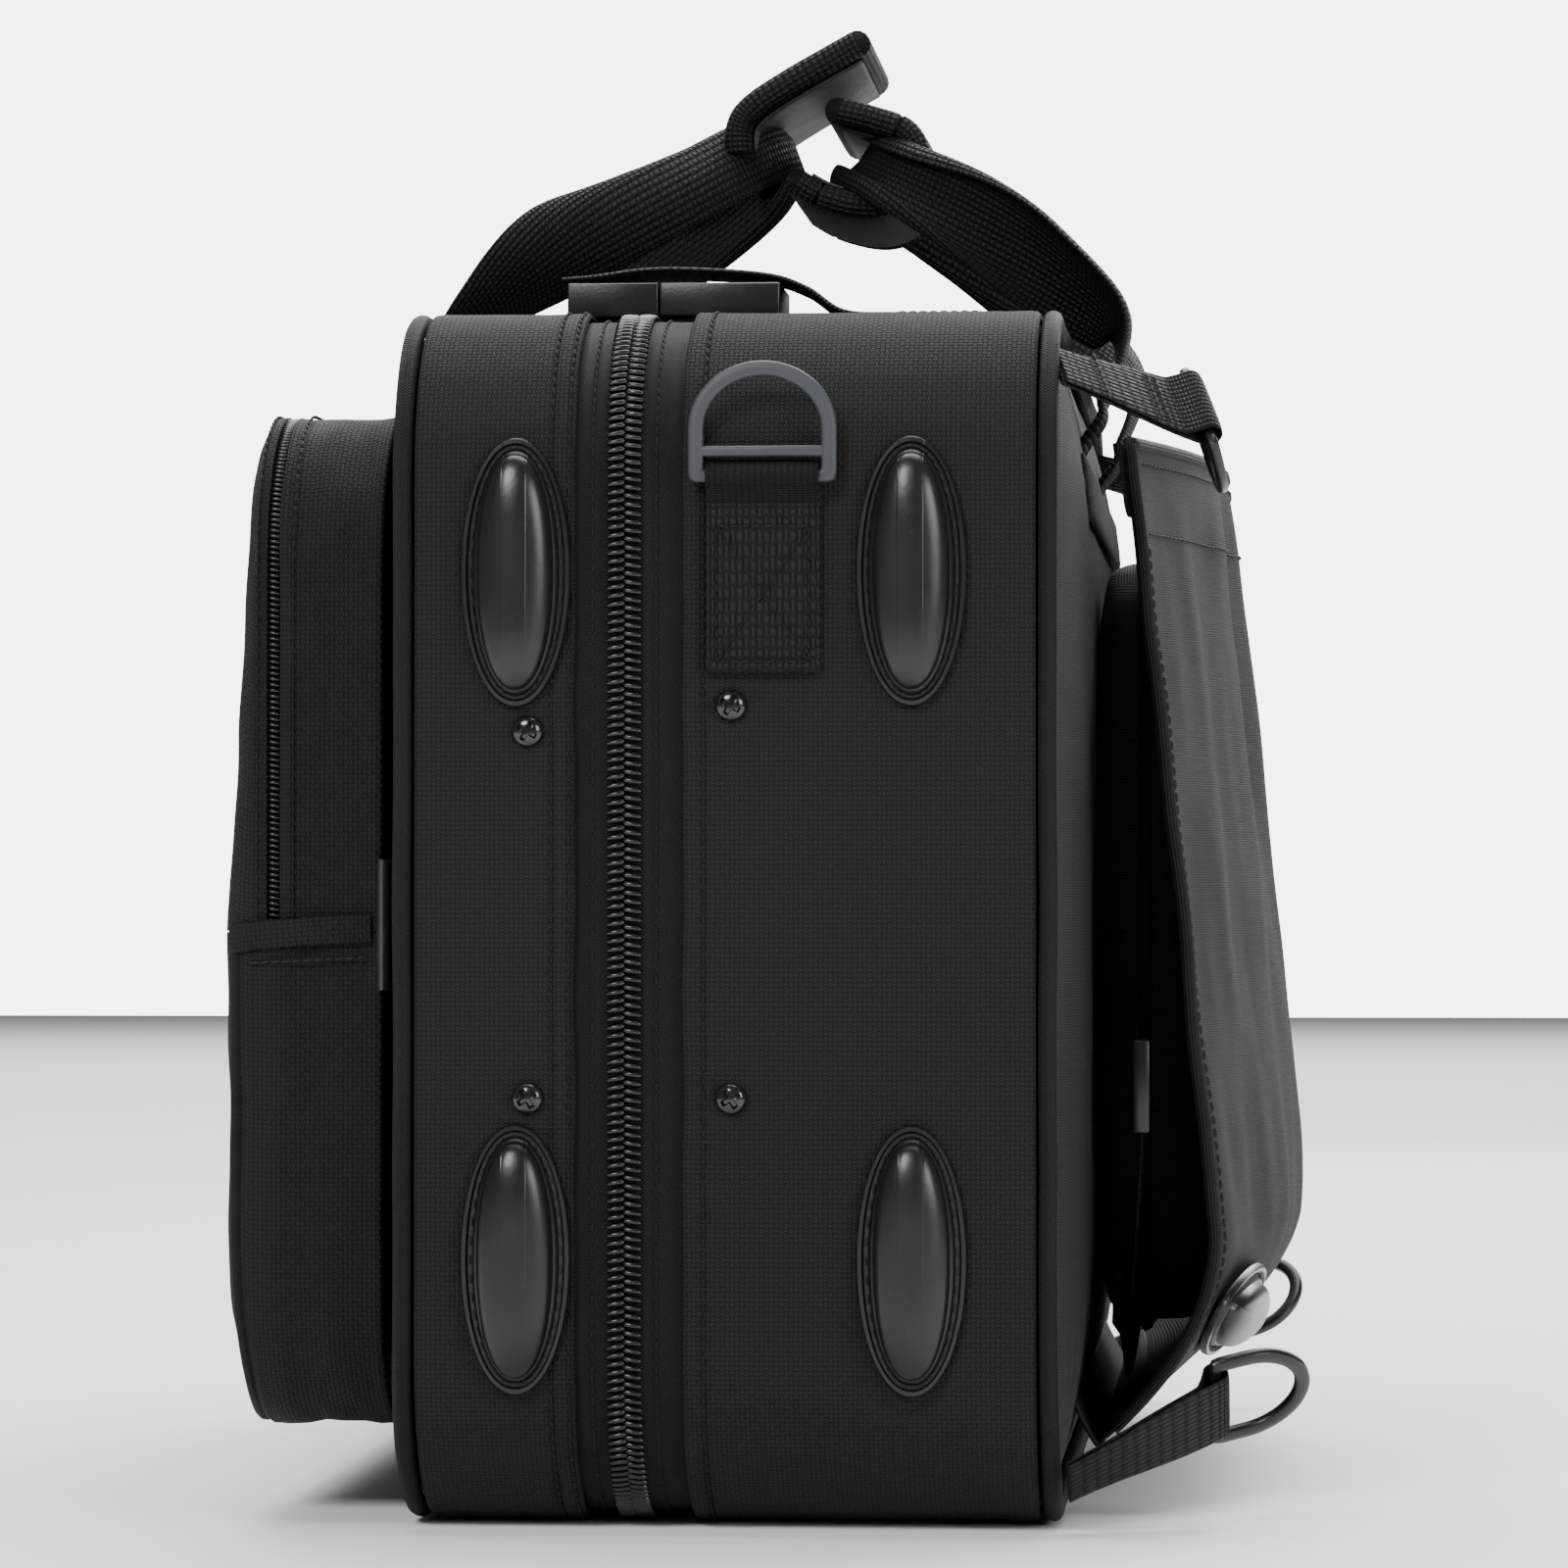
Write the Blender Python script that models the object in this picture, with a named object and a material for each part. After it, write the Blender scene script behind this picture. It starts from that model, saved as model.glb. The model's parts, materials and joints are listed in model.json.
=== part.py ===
"""Soft-sided flight case: a zip clamshell with a front pocket, a strap-stow flap and two wrapped handles.

+X runs along the case, +Y to its back, +Z up. The origin is on the flat base, on the zip plane, mid-length.
The lid (the front half) turns about the X axis itself. All sizes are in metres.
"""

from math import cos, pi, radians, sin

import bmesh
import bpy
from mathutils import Matrix, Vector

# ---- The case ----
LENGTH = 0.450
HEIGHT = 0.315
CORNER_RADIUS = 0.045
CORNER_STEPS = 6
FRONT_DEPTH = 0.057
REAR_DEPTH = 0.108
GAP = 0.0003
CUT_MARGIN = 0.010

# ---- The wall: fabric gusset, zip tape, laminated board ----
GUSSET_THICKNESS = 0.0023
TAPE_THICKNESS = 0.0010
SHELL_THICKNESS = 0.0025
PIPING_RADIUS = 0.0027
PANEL_RISE = 0.0080
PANEL_DOME = 0.0045
TAPE_INSET = GUSSET_THICKNESS + GAP
SHELL_INSET = TAPE_INSET + TAPE_THICKNESS + GAP
SHELL_INNER = SHELL_INSET + SHELL_THICKNESS

# ---- The main zip ----
ZIP_GROOVE = 0.0016
COIL_HALF_WIDTH = 0.0050
COIL_INSET = 0.0004
GUSSET_FOLD = 0.0125
TAPE_WIDTH = 0.0190
SHELL_START = 0.0100
ZIP_END_X = 0.150
HINGE_STRIP_FRONT = 0.0060
HINGE_STRIP_THICKNESS = 0.0015
SLIDER_LENGTH = 0.0110
SLIDER_HALF_WIDTH = 0.0045
SLIDER_PLATE = 0.0012
SLIDER_X = 0.0070
PULL_LENGTH = 0.0260
PULL_WIDTH = 0.0070
PULL_THICKNESS = 0.0012
BRIDGE_WIDTH = 0.0024
BRIDGE_LENGTH = 0.0080
BRIDGE_CLEARANCE = 0.0013
BRIDGE_BAR = 0.0009
BRIDGE_TAPER = 0.8
BRIDGE_SINK = 0.0004
BRIDGE_SILL = 0.0001
PULL_CLEARANCE = 0.0006

# ---- Oval bumpers and screws on the two ends ----
BUMPER_WIDTH = 0.0285
BUMPER_LENGTH = 0.0690
BUMPER_FLANGE = 0.0018
DOME_WIDTH = 0.0200
DOME_LENGTH = 0.0615
DOME_HEIGHT = 0.0085
BUMPER_STEPS = 18
BUMPER_LOW_Z = 0.070
BUMPER_TOP_DROP = 0.070
FRONT_BUMPER_Y = -0.0275
REAR_BUMPER_Y = 0.0735
SCREW_HEAD_RADIUS = 0.0041
SCREW_HEAD_HEIGHT = 0.0024
SCREW_SHANK_RADIUS = 0.0020
SCREW_HOLE_RADIUS = 0.0025
SCREW_LOW_Z = 0.1110
FRONT_SCREW_TOP_DROP = 0.1105
REAR_SCREW_TOP_DROP = 0.1040
FRONT_SCREW_Y = -0.0245
REAR_SCREW_Y = 0.0275
SCREW_BAR_WIDTH = 0.0140
SCREW_BAR_THICKNESS = 0.0025
SCREW_BAR_MARGIN = 0.0120

# ---- End D-rings, which take the shoulder strap ----
RING_OPENING = 0.0300
RING_BAND = 0.0040
RING_THICKNESS = 0.0030
RING_HEIGHT = 0.0310
RING_LEG = 0.0120
RING_SLOT = 0.0035
RING_CROSS_BAR = 0.0028
END_RING_Y = 0.0358
END_RING_TOP_DROP = 0.0460
WEBBING_THICKNESS = 0.0013
WEBBING_CLEARANCE = 0.0006
BAR_HALF = RING_THICKNESS / 2
LOOP_INNER = BAR_HALF * 1.42 + WEBBING_CLEARANCE / 2
LOOP_OUTER = LOOP_INNER + WEBBING_THICKNESS
TAB_LENGTH = 0.0500
TAB_WIDTH = RING_OPENING - 2 * WEBBING_CLEARANCE

# ---- Corner D-rings, which take the stowed backpack straps ----
CORNER_RING_OPENING = 0.0250
CORNER_RING_HEIGHT = 0.0270
CORNER_RING_LEG = 0.0080
CORNER_STRAP_ROOT_Y = 0.0066
CORNER_ROOT_INSET = 0.0040
TOP_STRAP_LENGTH = 0.0390
TOP_STRAP_RUN = Vector((-0.53, 0.80, -0.26))
TOP_RING_BAR = Vector((0.70, 0.25, -0.67))
TOP_RING_HANG = Vector((0.0, 0.30, -0.95))
LOW_STRAP_LENGTH = 0.0420
LOW_STRAP_RUN = Vector((-0.37, 0.84, 0.39))
LOW_RING_BAR = Vector((0.72, 0.0, 0.69))
LOW_RING_HANG = Vector((-0.22, 0.94, 0.23))

# ---- Strap-stow flap on the back ----
FLAP_HALF_WIDTH = 0.157
FLAP_THICKNESS = 0.0024
FLAP_BOTTOM = 0.020
FLAP_TOP_DROP = 0.032
FLAP_FOOT_GAP = 0.0125
FLAP_BULGE = 0.0240
FLAP_BELLY = 0.0290
HOOK_STRIP_HEIGHT = 0.0200
HOOK_STRIP_THICKNESS = 0.0025
FLAP_BUMPER_X = 0.115
FLAP_BUMPER_Z = 0.052
STOWED_STRAP_WIDTH = 0.065
STOWED_STRAP_BOTTOM = 0.0425
STOWED_STRAP_TOP_DROP = 0.0575
STOWED_STRAP_RADIUS = 0.022
STOWED_STRAP_THICKNESS = 0.0240
STOWED_STRAP_EDGE = 0.0030
STOWED_STRAP_X = 0.060

# ---- Front pocket ----
POCKET_HALF_LENGTH = 0.195
POCKET_BOTTOM = 0.022
POCKET_TOP = 0.290
POCKET_RADIUS = 0.040
POCKET_DEPTH = 0.041
POCKET_WALL = 0.0022
POCKET_EDGE = 0.009
POCKET_SPLIT_Z = 0.1530
POCKET_ZIP_SETBACK = 0.0115
POCKET_COIL_WIDTH = 0.0032
POCKET_SLIDER_X = -0.130

# ---- Handles and their pads ----
HANDLE_X = 0.090
HANDLE_WIDTH = 0.036
HANDLE_GATHERED = 0.020
HANDLE_THICKNESS = 0.0024
HANDLE_STEPS = 26
PAD_HALF_LENGTH = 0.045
PAD_THICKNESS = 0.0045
HANDLE_STANDOFF = 0.1125 * (HANDLE_WIDTH - HANDLE_GATHERED)
HANDLE_HINGE_DROP = 0.019

# ---- Lock straps over the zip ----
LOCK_X = 0.150
LOCK_WEBBING = 0.0250
BUCKLE_WIDTH = 0.0340
BUCKLE_HEIGHT = 0.0090
SOCKET_START = 0.0035
SOCKET_LENGTH = 0.0320
SOCKET_WALL = 0.0020
PLUG_LENGTH = 0.0240
PRONG_LENGTH = 0.0200
PRONG_WIDTH = 0.0060
LOCK_TAIL_END = 0.0935

MATERIALS = {
    "ballistic_fabric": ((0.020, 0.019, 0.021), 0.85, 0.0),
    "packcloth": ((0.045, 0.045, 0.047), 0.80, 0.0),
    "piping": ((0.022, 0.021, 0.023), 0.75, 0.0),
    "zip_coil": ((0.012, 0.012, 0.012), 0.35, 0.0),
    "hook_and_loop": ((0.010, 0.010, 0.010), 0.95, 0.0),
    "board": ((0.030, 0.030, 0.032), 0.70, 0.0),
    "webbing": ((0.016, 0.016, 0.017), 0.80, 0.0),
    "bumper_plastic": ((0.018, 0.018, 0.019), 0.35, 0.0),
    "ring_plastic": ((0.095, 0.105, 0.120), 0.50, 0.0),
    "black_plastic": ((0.014, 0.014, 0.014), 0.40, 0.0),
    "black_steel": ((0.020, 0.020, 0.020), 0.25, 1.0),
    "slider_metal": ((0.030, 0.030, 0.032), 0.35, 1.0),
}


# ---- Building blocks ----


def clear_scene():
    for obj in list(bpy.data.objects):
        bpy.data.objects.remove(obj, do_unlink=True)


def material(name):
    made = bpy.data.materials.get(name)
    if made:
        return made
    colour, roughness, metallic = MATERIALS[name]
    made = bpy.data.materials.new(name)
    made.use_nodes = True
    shader = made.node_tree.nodes["Principled BSDF"]
    shader.inputs["Base Color"].default_value = (*colour, 1.0)
    shader.inputs["Roughness"].default_value = roughness
    shader.inputs["Metallic"].default_value = metallic
    return made


def finish_object(name, mesh_builder, slot, place=None):
    """Turns a bmesh into a named object with outward faces, at the given matrix."""
    bmesh.ops.recalc_face_normals(mesh_builder, faces=mesh_builder.faces)
    mesh = bpy.data.meshes.new(name)
    mesh_builder.to_mesh(mesh)
    mesh_builder.free()
    mesh.shade_smooth()
    mesh.set_sharp_from_angle(angle=radians(35))
    mesh.materials.append(material(slot))
    obj = bpy.data.objects.new(name, mesh)
    obj.matrix_world = place or Matrix.Identity(4)
    bpy.context.scene.collection.objects.link(obj)
    return obj


def bridge(builder, one, two, closed=True):
    count = len(one)
    for i in range(count if closed else count - 1):
        j = (i + 1) % count
        builder.faces.new((one[i], one[j], two[j], two[i]))


def loft(name, loops, slot, place=None):
    """A solid through closed loops of points, with a flat cap at each end."""
    builder = bmesh.new()
    rows = [[builder.verts.new(point) for point in loop] for loop in loops]
    for one, two in zip(rows, rows[1:]):
        bridge(builder, one, two)
    builder.faces.new(rows[0])
    builder.faces.new(rows[-1])
    return finish_object(name, builder, slot, place)


def box(name, low, high, slot, place=None):
    corners = [(low[0], low[1]), (high[0], low[1]), (high[0], high[1]), (low[0], high[1])]
    loops = [[(x, y, z) for x, y in corners] for z in (low[2], high[2])]
    return loft(name, loops, slot, place)


def plate(name, outer, holes, thickness, slot, place=None):
    """A flat plate in the local XY plane, with through holes, centred on local Z."""
    builder = bmesh.new()
    edges = []
    for loop in [outer, *holes]:
        verts = [builder.verts.new((x, y, -thickness / 2)) for x, y in loop]
        edges += [builder.edges.new(pair) for pair in zip(verts, verts[1:] + verts[:1])]
    filled = bmesh.ops.triangle_fill(builder, use_beauty=True, edges=edges)
    faces = [item for item in filled["geom"] if isinstance(item, bmesh.types.BMFace)]
    raised = bmesh.ops.extrude_face_region(builder, geom=faces, use_keep_orig=True)
    moved = [item for item in raised["geom"] if isinstance(item, bmesh.types.BMVert)]
    bmesh.ops.translate(builder, verts=moved, vec=(0, 0, thickness))
    return finish_object(name, builder, slot, place)


def frame(origin, along, across):
    """A matrix with local X on along and local Y as near across as it can be."""
    x_axis = along.normalized()
    y_axis = (across - across.dot(x_axis) * x_axis).normalized()
    z_axis = x_axis.cross(y_axis)
    turned = Matrix((x_axis, y_axis, z_axis)).transposed().to_4x4()
    return Matrix.Translation(origin) @ turned


def combine(obj, tool, operation):
    """Cuts or joins with a helper solid, which the render and the parts leave out."""
    tool.hide_render = True
    tool.display_type = "WIRE"
    modifier = obj.modifiers.new(tool.name, "BOOLEAN")
    modifier.operation = operation
    modifier.object = tool
    modifier.solver = "EXACT"


def arc(centre_x, centre_y, radius_x, radius_y, start, stop, steps):
    """Points from start to stop, both in degrees, on an ellipse."""
    turns = [radians(start + (stop - start) * i / steps) for i in range(steps + 1)]
    return [(centre_x + radius_x * cos(t), centre_y + radius_y * sin(t)) for t in turns]


def ellipse(radius_x, radius_y, steps):
    return arc(0, 0, radius_x, radius_y, 0, 360, steps)[:-1]


def smooth_path(points, steps):
    """Evenly spread samples of a Catmull-Rom curve through the points."""
    padded = [2 * points[0] - points[1], *points, 2 * points[-1] - points[-2]]
    spans = len(points) - 1
    samples = []
    for i in range(steps + 1):
        whole = min(int(i * spans / steps), spans - 1)
        t = i * spans / steps - whole
        a, b, c, d = padded[whole : whole + 4]
        bend = (2 * a - 5 * b + 4 * c - d) * t**2 + (3 * b - 3 * c + d - a) * t**3
        samples.append((2 * b + (c - a) * t + bend) / 2)
    return samples


def outline(half_length, low, high, radius, steps=CORNER_STEPS):
    """(x, z, normal x, normal z) round an upright rounded rectangle, from its lower right corner."""
    found = []
    lower, upper = low + radius, high - radius
    corners = [(1, lower, -90), (1, upper, 0), (-1, upper, 90), (-1, lower, 180)]
    for side, centre_z, start in corners:
        centre_x = side * (half_length - radius)
        for i in range(steps + 1):
            turn = radians(start + 90 * i / steps)
            nx, nz = cos(turn), sin(turn)
            found.append((centre_x + radius * nx, centre_z + radius * nz, nx, nz))
    return found


def case_outline():
    return outline(LENGTH / 2, 0.0, HEIGHT, CORNER_RADIUS)


def pocket_outline():
    return outline(POCKET_HALF_LENGTH, POCKET_BOTTOM, POCKET_TOP, POCKET_RADIUS)


def loop_at(path, inset, y):
    return [(x - inset * nx, y, z - inset * nz) for x, z, nx, nz in path]


def sweep(name, path, section, slot, closed=True):
    """Sweeps a section of (inset, y) points round a path of outline points."""
    builder = bmesh.new()
    rows = []
    for x, z, nx, nz in path:
        rows.append([builder.verts.new((x - inset * nx, y, z - inset * nz)) for inset, y in section])
    for one, two in zip(rows, rows[1:] + rows[:1] if closed else rows[1:]):
        bridge(builder, one, two)
    if not closed:
        builder.faces.new(rows[0])
        builder.faces.new(rows[-1])
    return finish_object(name, builder, slot)


def ribbon(name, centres, widths, sides, thickness, slot, place=None):
    """A flat strap through the centres, with a width and a sideways direction at each."""
    builder = bmesh.new()
    rows = []
    for i, centre in enumerate(centres):
        ahead = centres[min(i + 1, len(centres) - 1)] - centres[max(i - 1, 0)]
        across = (sides[i] - sides[i].dot(ahead) / ahead.length_squared * ahead).normalized()
        lift = ahead.normalized().cross(across) * thickness / 2
        reach = across * widths[i] / 2
        corners = (-reach - lift, reach - lift, reach + lift, lift - reach)
        rows.append([builder.verts.new(centre + corner) for corner in corners])
    for one, two in zip(rows, rows[1:]):
        bridge(builder, one, two)
    builder.faces.new(rows[0])
    builder.faces.new(rows[-1])
    return finish_object(name, builder, slot, place)


def strip_in_yz(name, line, thickness, half_length, slot, place=None, x=0.0):
    """A sheet along X whose (y, z) middle line is given, as one solid."""
    centres = [Vector((x, y, z)) for y, z in line]
    count = len(centres)
    widths, sides = [2 * half_length] * count, [Vector((1, 0, 0))] * count
    return ribbon(name, centres, widths, sides, thickness, slot, place)


# ---- The two halves of the case ----


def half_case(half, depth, way):
    """One half: way is +1 for the rear half and -1 for the front one."""
    edge = way * (depth - PIPING_RADIUS - GAP)
    path = case_outline()
    gusset_section = [(0, way * GUSSET_FOLD), (GUSSET_THICKNESS, way * GUSSET_FOLD)]
    gusset_section += [(GUSSET_THICKNESS, edge), (0, edge)]
    gusset = sweep(f"{half}_gusset", path, gusset_section, "ballistic_fabric")

    shell_back = edge - way * GAP
    shell_loops = [
        loop_at(path, SHELL_INNER, shell_back - way * SHELL_THICKNESS),
        loop_at(path, SHELL_INNER, way * SHELL_START),
        loop_at(path, SHELL_INSET, way * SHELL_START),
        loop_at(path, SHELL_INSET, shell_back),
    ]
    shell = loft(f"{half}_shell", shell_loops, "board")

    panel_inset = 2 * PIPING_RADIUS + GAP
    rise = [(0, 0), (0, 0.0030), (0.0060, 0.0062), (0.0200, PANEL_RISE), (0.0500, PANEL_RISE + PANEL_DOME)]
    panel_loops = [loop_at(path, panel_inset + inset, edge + way * up) for inset, up in rise[:-2]]
    inner = outline(LENGTH / 2 - 0.026, 0.026, HEIGHT - 0.026, 0.030)
    middle = outline(LENGTH / 2 - 0.070, 0.070, HEIGHT - 0.070, 0.020)
    panel_loops += [loop_at(inner, 0, edge + way * rise[3][1]), loop_at(middle, 0, edge + way * rise[4][1])]
    loft(f"{half}_panel", panel_loops, "packcloth" if way > 0 else "ballistic_fabric")

    ring = arc(PIPING_RADIUS, way * depth, PIPING_RADIUS, PIPING_RADIUS, 0, 360, 8)[:-1]
    sweep(f"{half}_piping", path, ring, "piping")

    start, coil = way * ZIP_GROOVE / 2, way * COIL_HALF_WIDTH
    tape_edge = way * TAPE_WIDTH
    tape_in = TAPE_INSET + TAPE_THICKNESS
    zip_section = [(COIL_INSET, start), (tape_in, start), (tape_in, tape_edge)]
    zip_section += [(TAPE_INSET, tape_edge), (TAPE_INSET, coil), (COIL_INSET, coil)]
    ends = [(ZIP_END_X, 0, 0, -1)], [(-ZIP_END_X, 0, 0, -1)]
    sweep(f"{half}_zip", [*ends[0], *path, *ends[1]], zip_section, "zip_coil", closed=False)
    return gusset, shell


def end_place(side, y, z, standoff=GAP):
    """Local XY lies on an end face of the case: X forward or back, Y up, Z outwards."""
    return frame(Vector((side * (LENGTH / 2 + standoff), y, z)), Vector((0, side, 0)), Vector((0, 0, 1)))


def bumper(name, place):
    """An oval bumper on local XY: a stitched flange with a long dome."""
    loops = []
    flange = [(1.0, 0.0), (1.0, BUMPER_FLANGE * 0.7), (0.95, BUMPER_FLANGE)]
    for share, up in flange:
        oval = ellipse(share * BUMPER_WIDTH / 2, share * BUMPER_LENGTH / 2, BUMPER_STEPS)
        loops.append([(x, y, up) for x, y in oval])
    for turn in (0, 28, 52, 72):
        wide, up = cos(radians(turn)), sin(radians(turn))
        height = BUMPER_FLANGE + up * (DOME_HEIGHT - BUMPER_FLANGE)
        oval = ellipse(wide * DOME_WIDTH / 2, DOME_LENGTH / 2 * (1 - (1 - wide) * 0.75), BUMPER_STEPS)
        loops.append([(x, y, height) for x, y in oval])
    loft(name, loops, "bumper_plastic", place)


def turned(name, profile, slot, place, steps=16):
    """A turned solid on local Z from (radius, height) points."""
    loft(name, [[(x, y, up) for x, y in ellipse(r, r, steps)] for r, up in profile], slot, place)


def screw_bar(name, side, y, high_z, walls):
    """A backing bar inside the shell, with the two screws that clamp the wall to it."""
    place = end_place(side, y, 0, 0)
    back = -SHELL_INNER - GAP
    bar_low, bar_high = SCREW_LOW_Z - SCREW_BAR_MARGIN, high_z + SCREW_BAR_MARGIN
    half_bar = SCREW_BAR_WIDTH / 2
    low = (-half_bar, bar_low, back - SCREW_BAR_THICKNESS)
    bar = box(name, low, (half_bar, bar_high, back), "black_steel", place)
    for level, z in (("low", SCREW_LOW_Z), ("high", high_z)):
        spot = place @ Matrix.Translation((0, z, 0))
        head = SCREW_HEAD_HEIGHT
        profile = [(SCREW_SHANK_RADIUS, back - SCREW_BAR_THICKNESS / 2), (SCREW_SHANK_RADIUS, GAP)]
        profile += [(SCREW_HEAD_RADIUS, GAP), (SCREW_HEAD_RADIUS, GAP + head * 0.35)]
        profile += [(SCREW_HEAD_RADIUS * 0.82, GAP + head * 0.8), (SCREW_HEAD_RADIUS * 0.4, GAP + head)]
        screw = f"{name}_{level}_tool"
        turned(screw, profile, "black_steel", spot)
        combine(bar, bpy.data.objects[screw], "UNION")
        hole = f"{name}_{level}_hole"
        turned(hole, [(SCREW_HOLE_RADIUS, back - GAP), (SCREW_HOLE_RADIUS, GAP)], "board", spot)
        for wall in walls:
            combine(wall, bpy.data.objects[hole], "DIFFERENCE")


def hinge_strip():
    low = (-ZIP_END_X + GAP, -HINGE_STRIP_FRONT, 0)
    high = (ZIP_END_X - GAP, GUSSET_FOLD - GAP, HINGE_STRIP_THICKNESS)
    box("hinge_strip", low, high, "ballistic_fabric")


# ---- D-rings and the webbing that holds them ----


def d_ring(name, opening, height, leg, cross_bar, place):
    """A D-ring in local XY, with its strap bar on local X and its bow towards +Y."""
    half = opening / 2
    outer_half = half + RING_BAND
    low = -BAR_HALF
    outer = [(outer_half, low), (outer_half, leg)]
    outer += arc(0, leg, outer_half, height + low - leg, 0, 180, 12)[1:]
    outer += [(-outer_half, low)]
    bow_low = BAR_HALF
    holes = []
    if cross_bar:
        slot_top = BAR_HALF + RING_SLOT
        holes.append([(-half, bow_low), (half, bow_low), (half, slot_top), (-half, slot_top)])
        bow_low = slot_top + RING_CROSS_BAR
    bow = [(half, bow_low), *arc(0, leg, half, height + low - leg - RING_BAND, 0, 180, 12), (-half, bow_low)]
    holes.append(bow)
    plate(name, outer, holes, RING_THICKNESS, "ring_plastic" if cross_bar else "black_plastic", place)


def looped_strap(name, length, width, place):
    """Doubled webbing in local YZ with a loop round the bar on local X; it runs towards -Y."""
    doubled = 2 * WEBBING_THICKNESS
    low = -LOOP_OUTER
    outer = [(-length, low), (0, low), *arc(0, 0, LOOP_OUTER, LOOP_OUTER, -90, 150, 12)[1:]]
    outer += [(-LOOP_OUTER * 1.35, low + doubled), (-length, low + doubled)]
    hole = ellipse(LOOP_INNER, LOOP_INNER, 12)
    turned_place = place @ Matrix(((0, 0, 1, 0), (1, 0, 0, 0), (0, 1, 0, 0), (0, 0, 0, 1)))
    plate(name, outer, [hole], width, "webbing", turned_place)


def end_ring(label, side):
    place = end_place(side, END_RING_Y, HEIGHT - END_RING_TOP_DROP, GAP + LOOP_OUTER)
    looped_strap(f"end_tab_{label}", TAB_LENGTH, TAB_WIDTH, place)
    d_ring(f"end_ring_{label}", RING_OPENING, RING_HEIGHT, RING_LEG, True, place)


def corner_ring(label, side, upper):
    """A D-ring on a short strap, sewn at the middle of one back corner; side mirrors it to the other end."""
    length = TOP_STRAP_LENGTH if upper else LOW_STRAP_LENGTH
    run = TOP_STRAP_RUN if upper else LOW_STRAP_RUN
    bar = TOP_RING_BAR if upper else LOW_RING_BAR
    hang = TOP_RING_HANG if upper else LOW_RING_HANG
    reach = (CORNER_RADIUS - CORNER_ROOT_INSET) * cos(pi / 4)
    root_x = LENGTH / 2 - CORNER_RADIUS + reach
    root_z = HEIGHT - CORNER_RADIUS + reach if upper else CORNER_RADIUS - reach
    root = Vector((root_x, REAR_DEPTH + CORNER_STRAP_ROOT_Y, root_z))
    across = (run - run.dot(bar) / bar.length_squared * bar).normalized()
    flip = Vector((side, 1, 1))
    centre, run, hang = (flip * v for v in (root + length * across, run, hang))
    bar = side * flip * bar
    width = CORNER_RING_OPENING - 2 * WEBBING_CLEARANCE
    looped_strap(f"corner_strap_{label}", length, width, frame(centre, bar, run))
    ring_place = frame(centre, bar, hang)
    size = CORNER_RING_OPENING, CORNER_RING_HEIGHT, CORNER_RING_LEG
    d_ring(f"corner_ring_{label}", *size, False, ring_place)


# ---- Strap-stow flap ----


def flap_y(x, z):
    """The middle of the flap: it leaves its foot steeply, bellies out low down and bulges at mid-length."""
    top = HEIGHT - FLAP_TOP_DROP
    share = (z - FLAP_BOTTOM) / (top - FLAP_BOTTOM)
    foot = REAR_DEPTH + FLAP_FOOT_GAP
    belly = FLAP_BELLY * (1 - (1 - min(share / 0.2, 1)) ** 2) * (1 - 0.78 * max(share - 0.2, 0) / 0.8)
    rise = min(share / 0.3, 1)
    bulge = FLAP_BULGE * rise * (2 - rise) * (1 - (x / FLAP_HALF_WIDTH) ** 2)
    return foot + belly + bulge


def flap_sheet(name, low, high, near, far, columns, rows, slot):
    """A sheet that follows the flap between two offsets from its middle."""
    builder = bmesh.new()
    hinge = Vector((0, flap_y(FLAP_HALF_WIDTH, FLAP_BOTTOM), FLAP_BOTTOM))
    sides = []
    for offset in (near, far):
        grid = []
        for i in range(rows + 1):
            z = low + (high - low) * (i / rows) ** 1.4
            across = [FLAP_HALF_WIDTH * (2 * j / columns - 1) for j in range(columns + 1)]
            grid.append([builder.verts.new(Vector((x, flap_y(x, z) + offset, z)) - hinge) for x in across])
        sides.append(grid)
    for grid in sides:
        for one, two in zip(grid, grid[1:]):
            bridge(builder, one, two, closed=False)
    front, back = sides
    rims = []
    for grid in (front, back):
        right, left = [row[-1] for row in grid[1:-1]], [row[0] for row in grid[-2:0:-1]]
        rims.append(grid[0] + right + grid[-1][::-1] + left)
    bridge(builder, *rims)
    finish_object(name, builder, slot, Matrix.Translation(hinge))


def flap_group():
    top = HEIGHT - FLAP_TOP_DROP
    half = FLAP_THICKNESS / 2
    flap_sheet("flap", FLAP_BOTTOM, top, -half, half, 16, 14, "packcloth")
    strip_out = -half - GAP
    strip_in = strip_out - HOOK_STRIP_THICKNESS
    strip_low = top - HOOK_STRIP_HEIGHT - GAP
    flap_sheet("flap_hook_strip", strip_low, top - GAP, strip_in, strip_out, 16, 2, "hook_and_loop")
    for label, side in (("near", 1), ("far", -1)):
        bumper(f"flap_bumper_{label}", flap_bumper_place(side))


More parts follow.
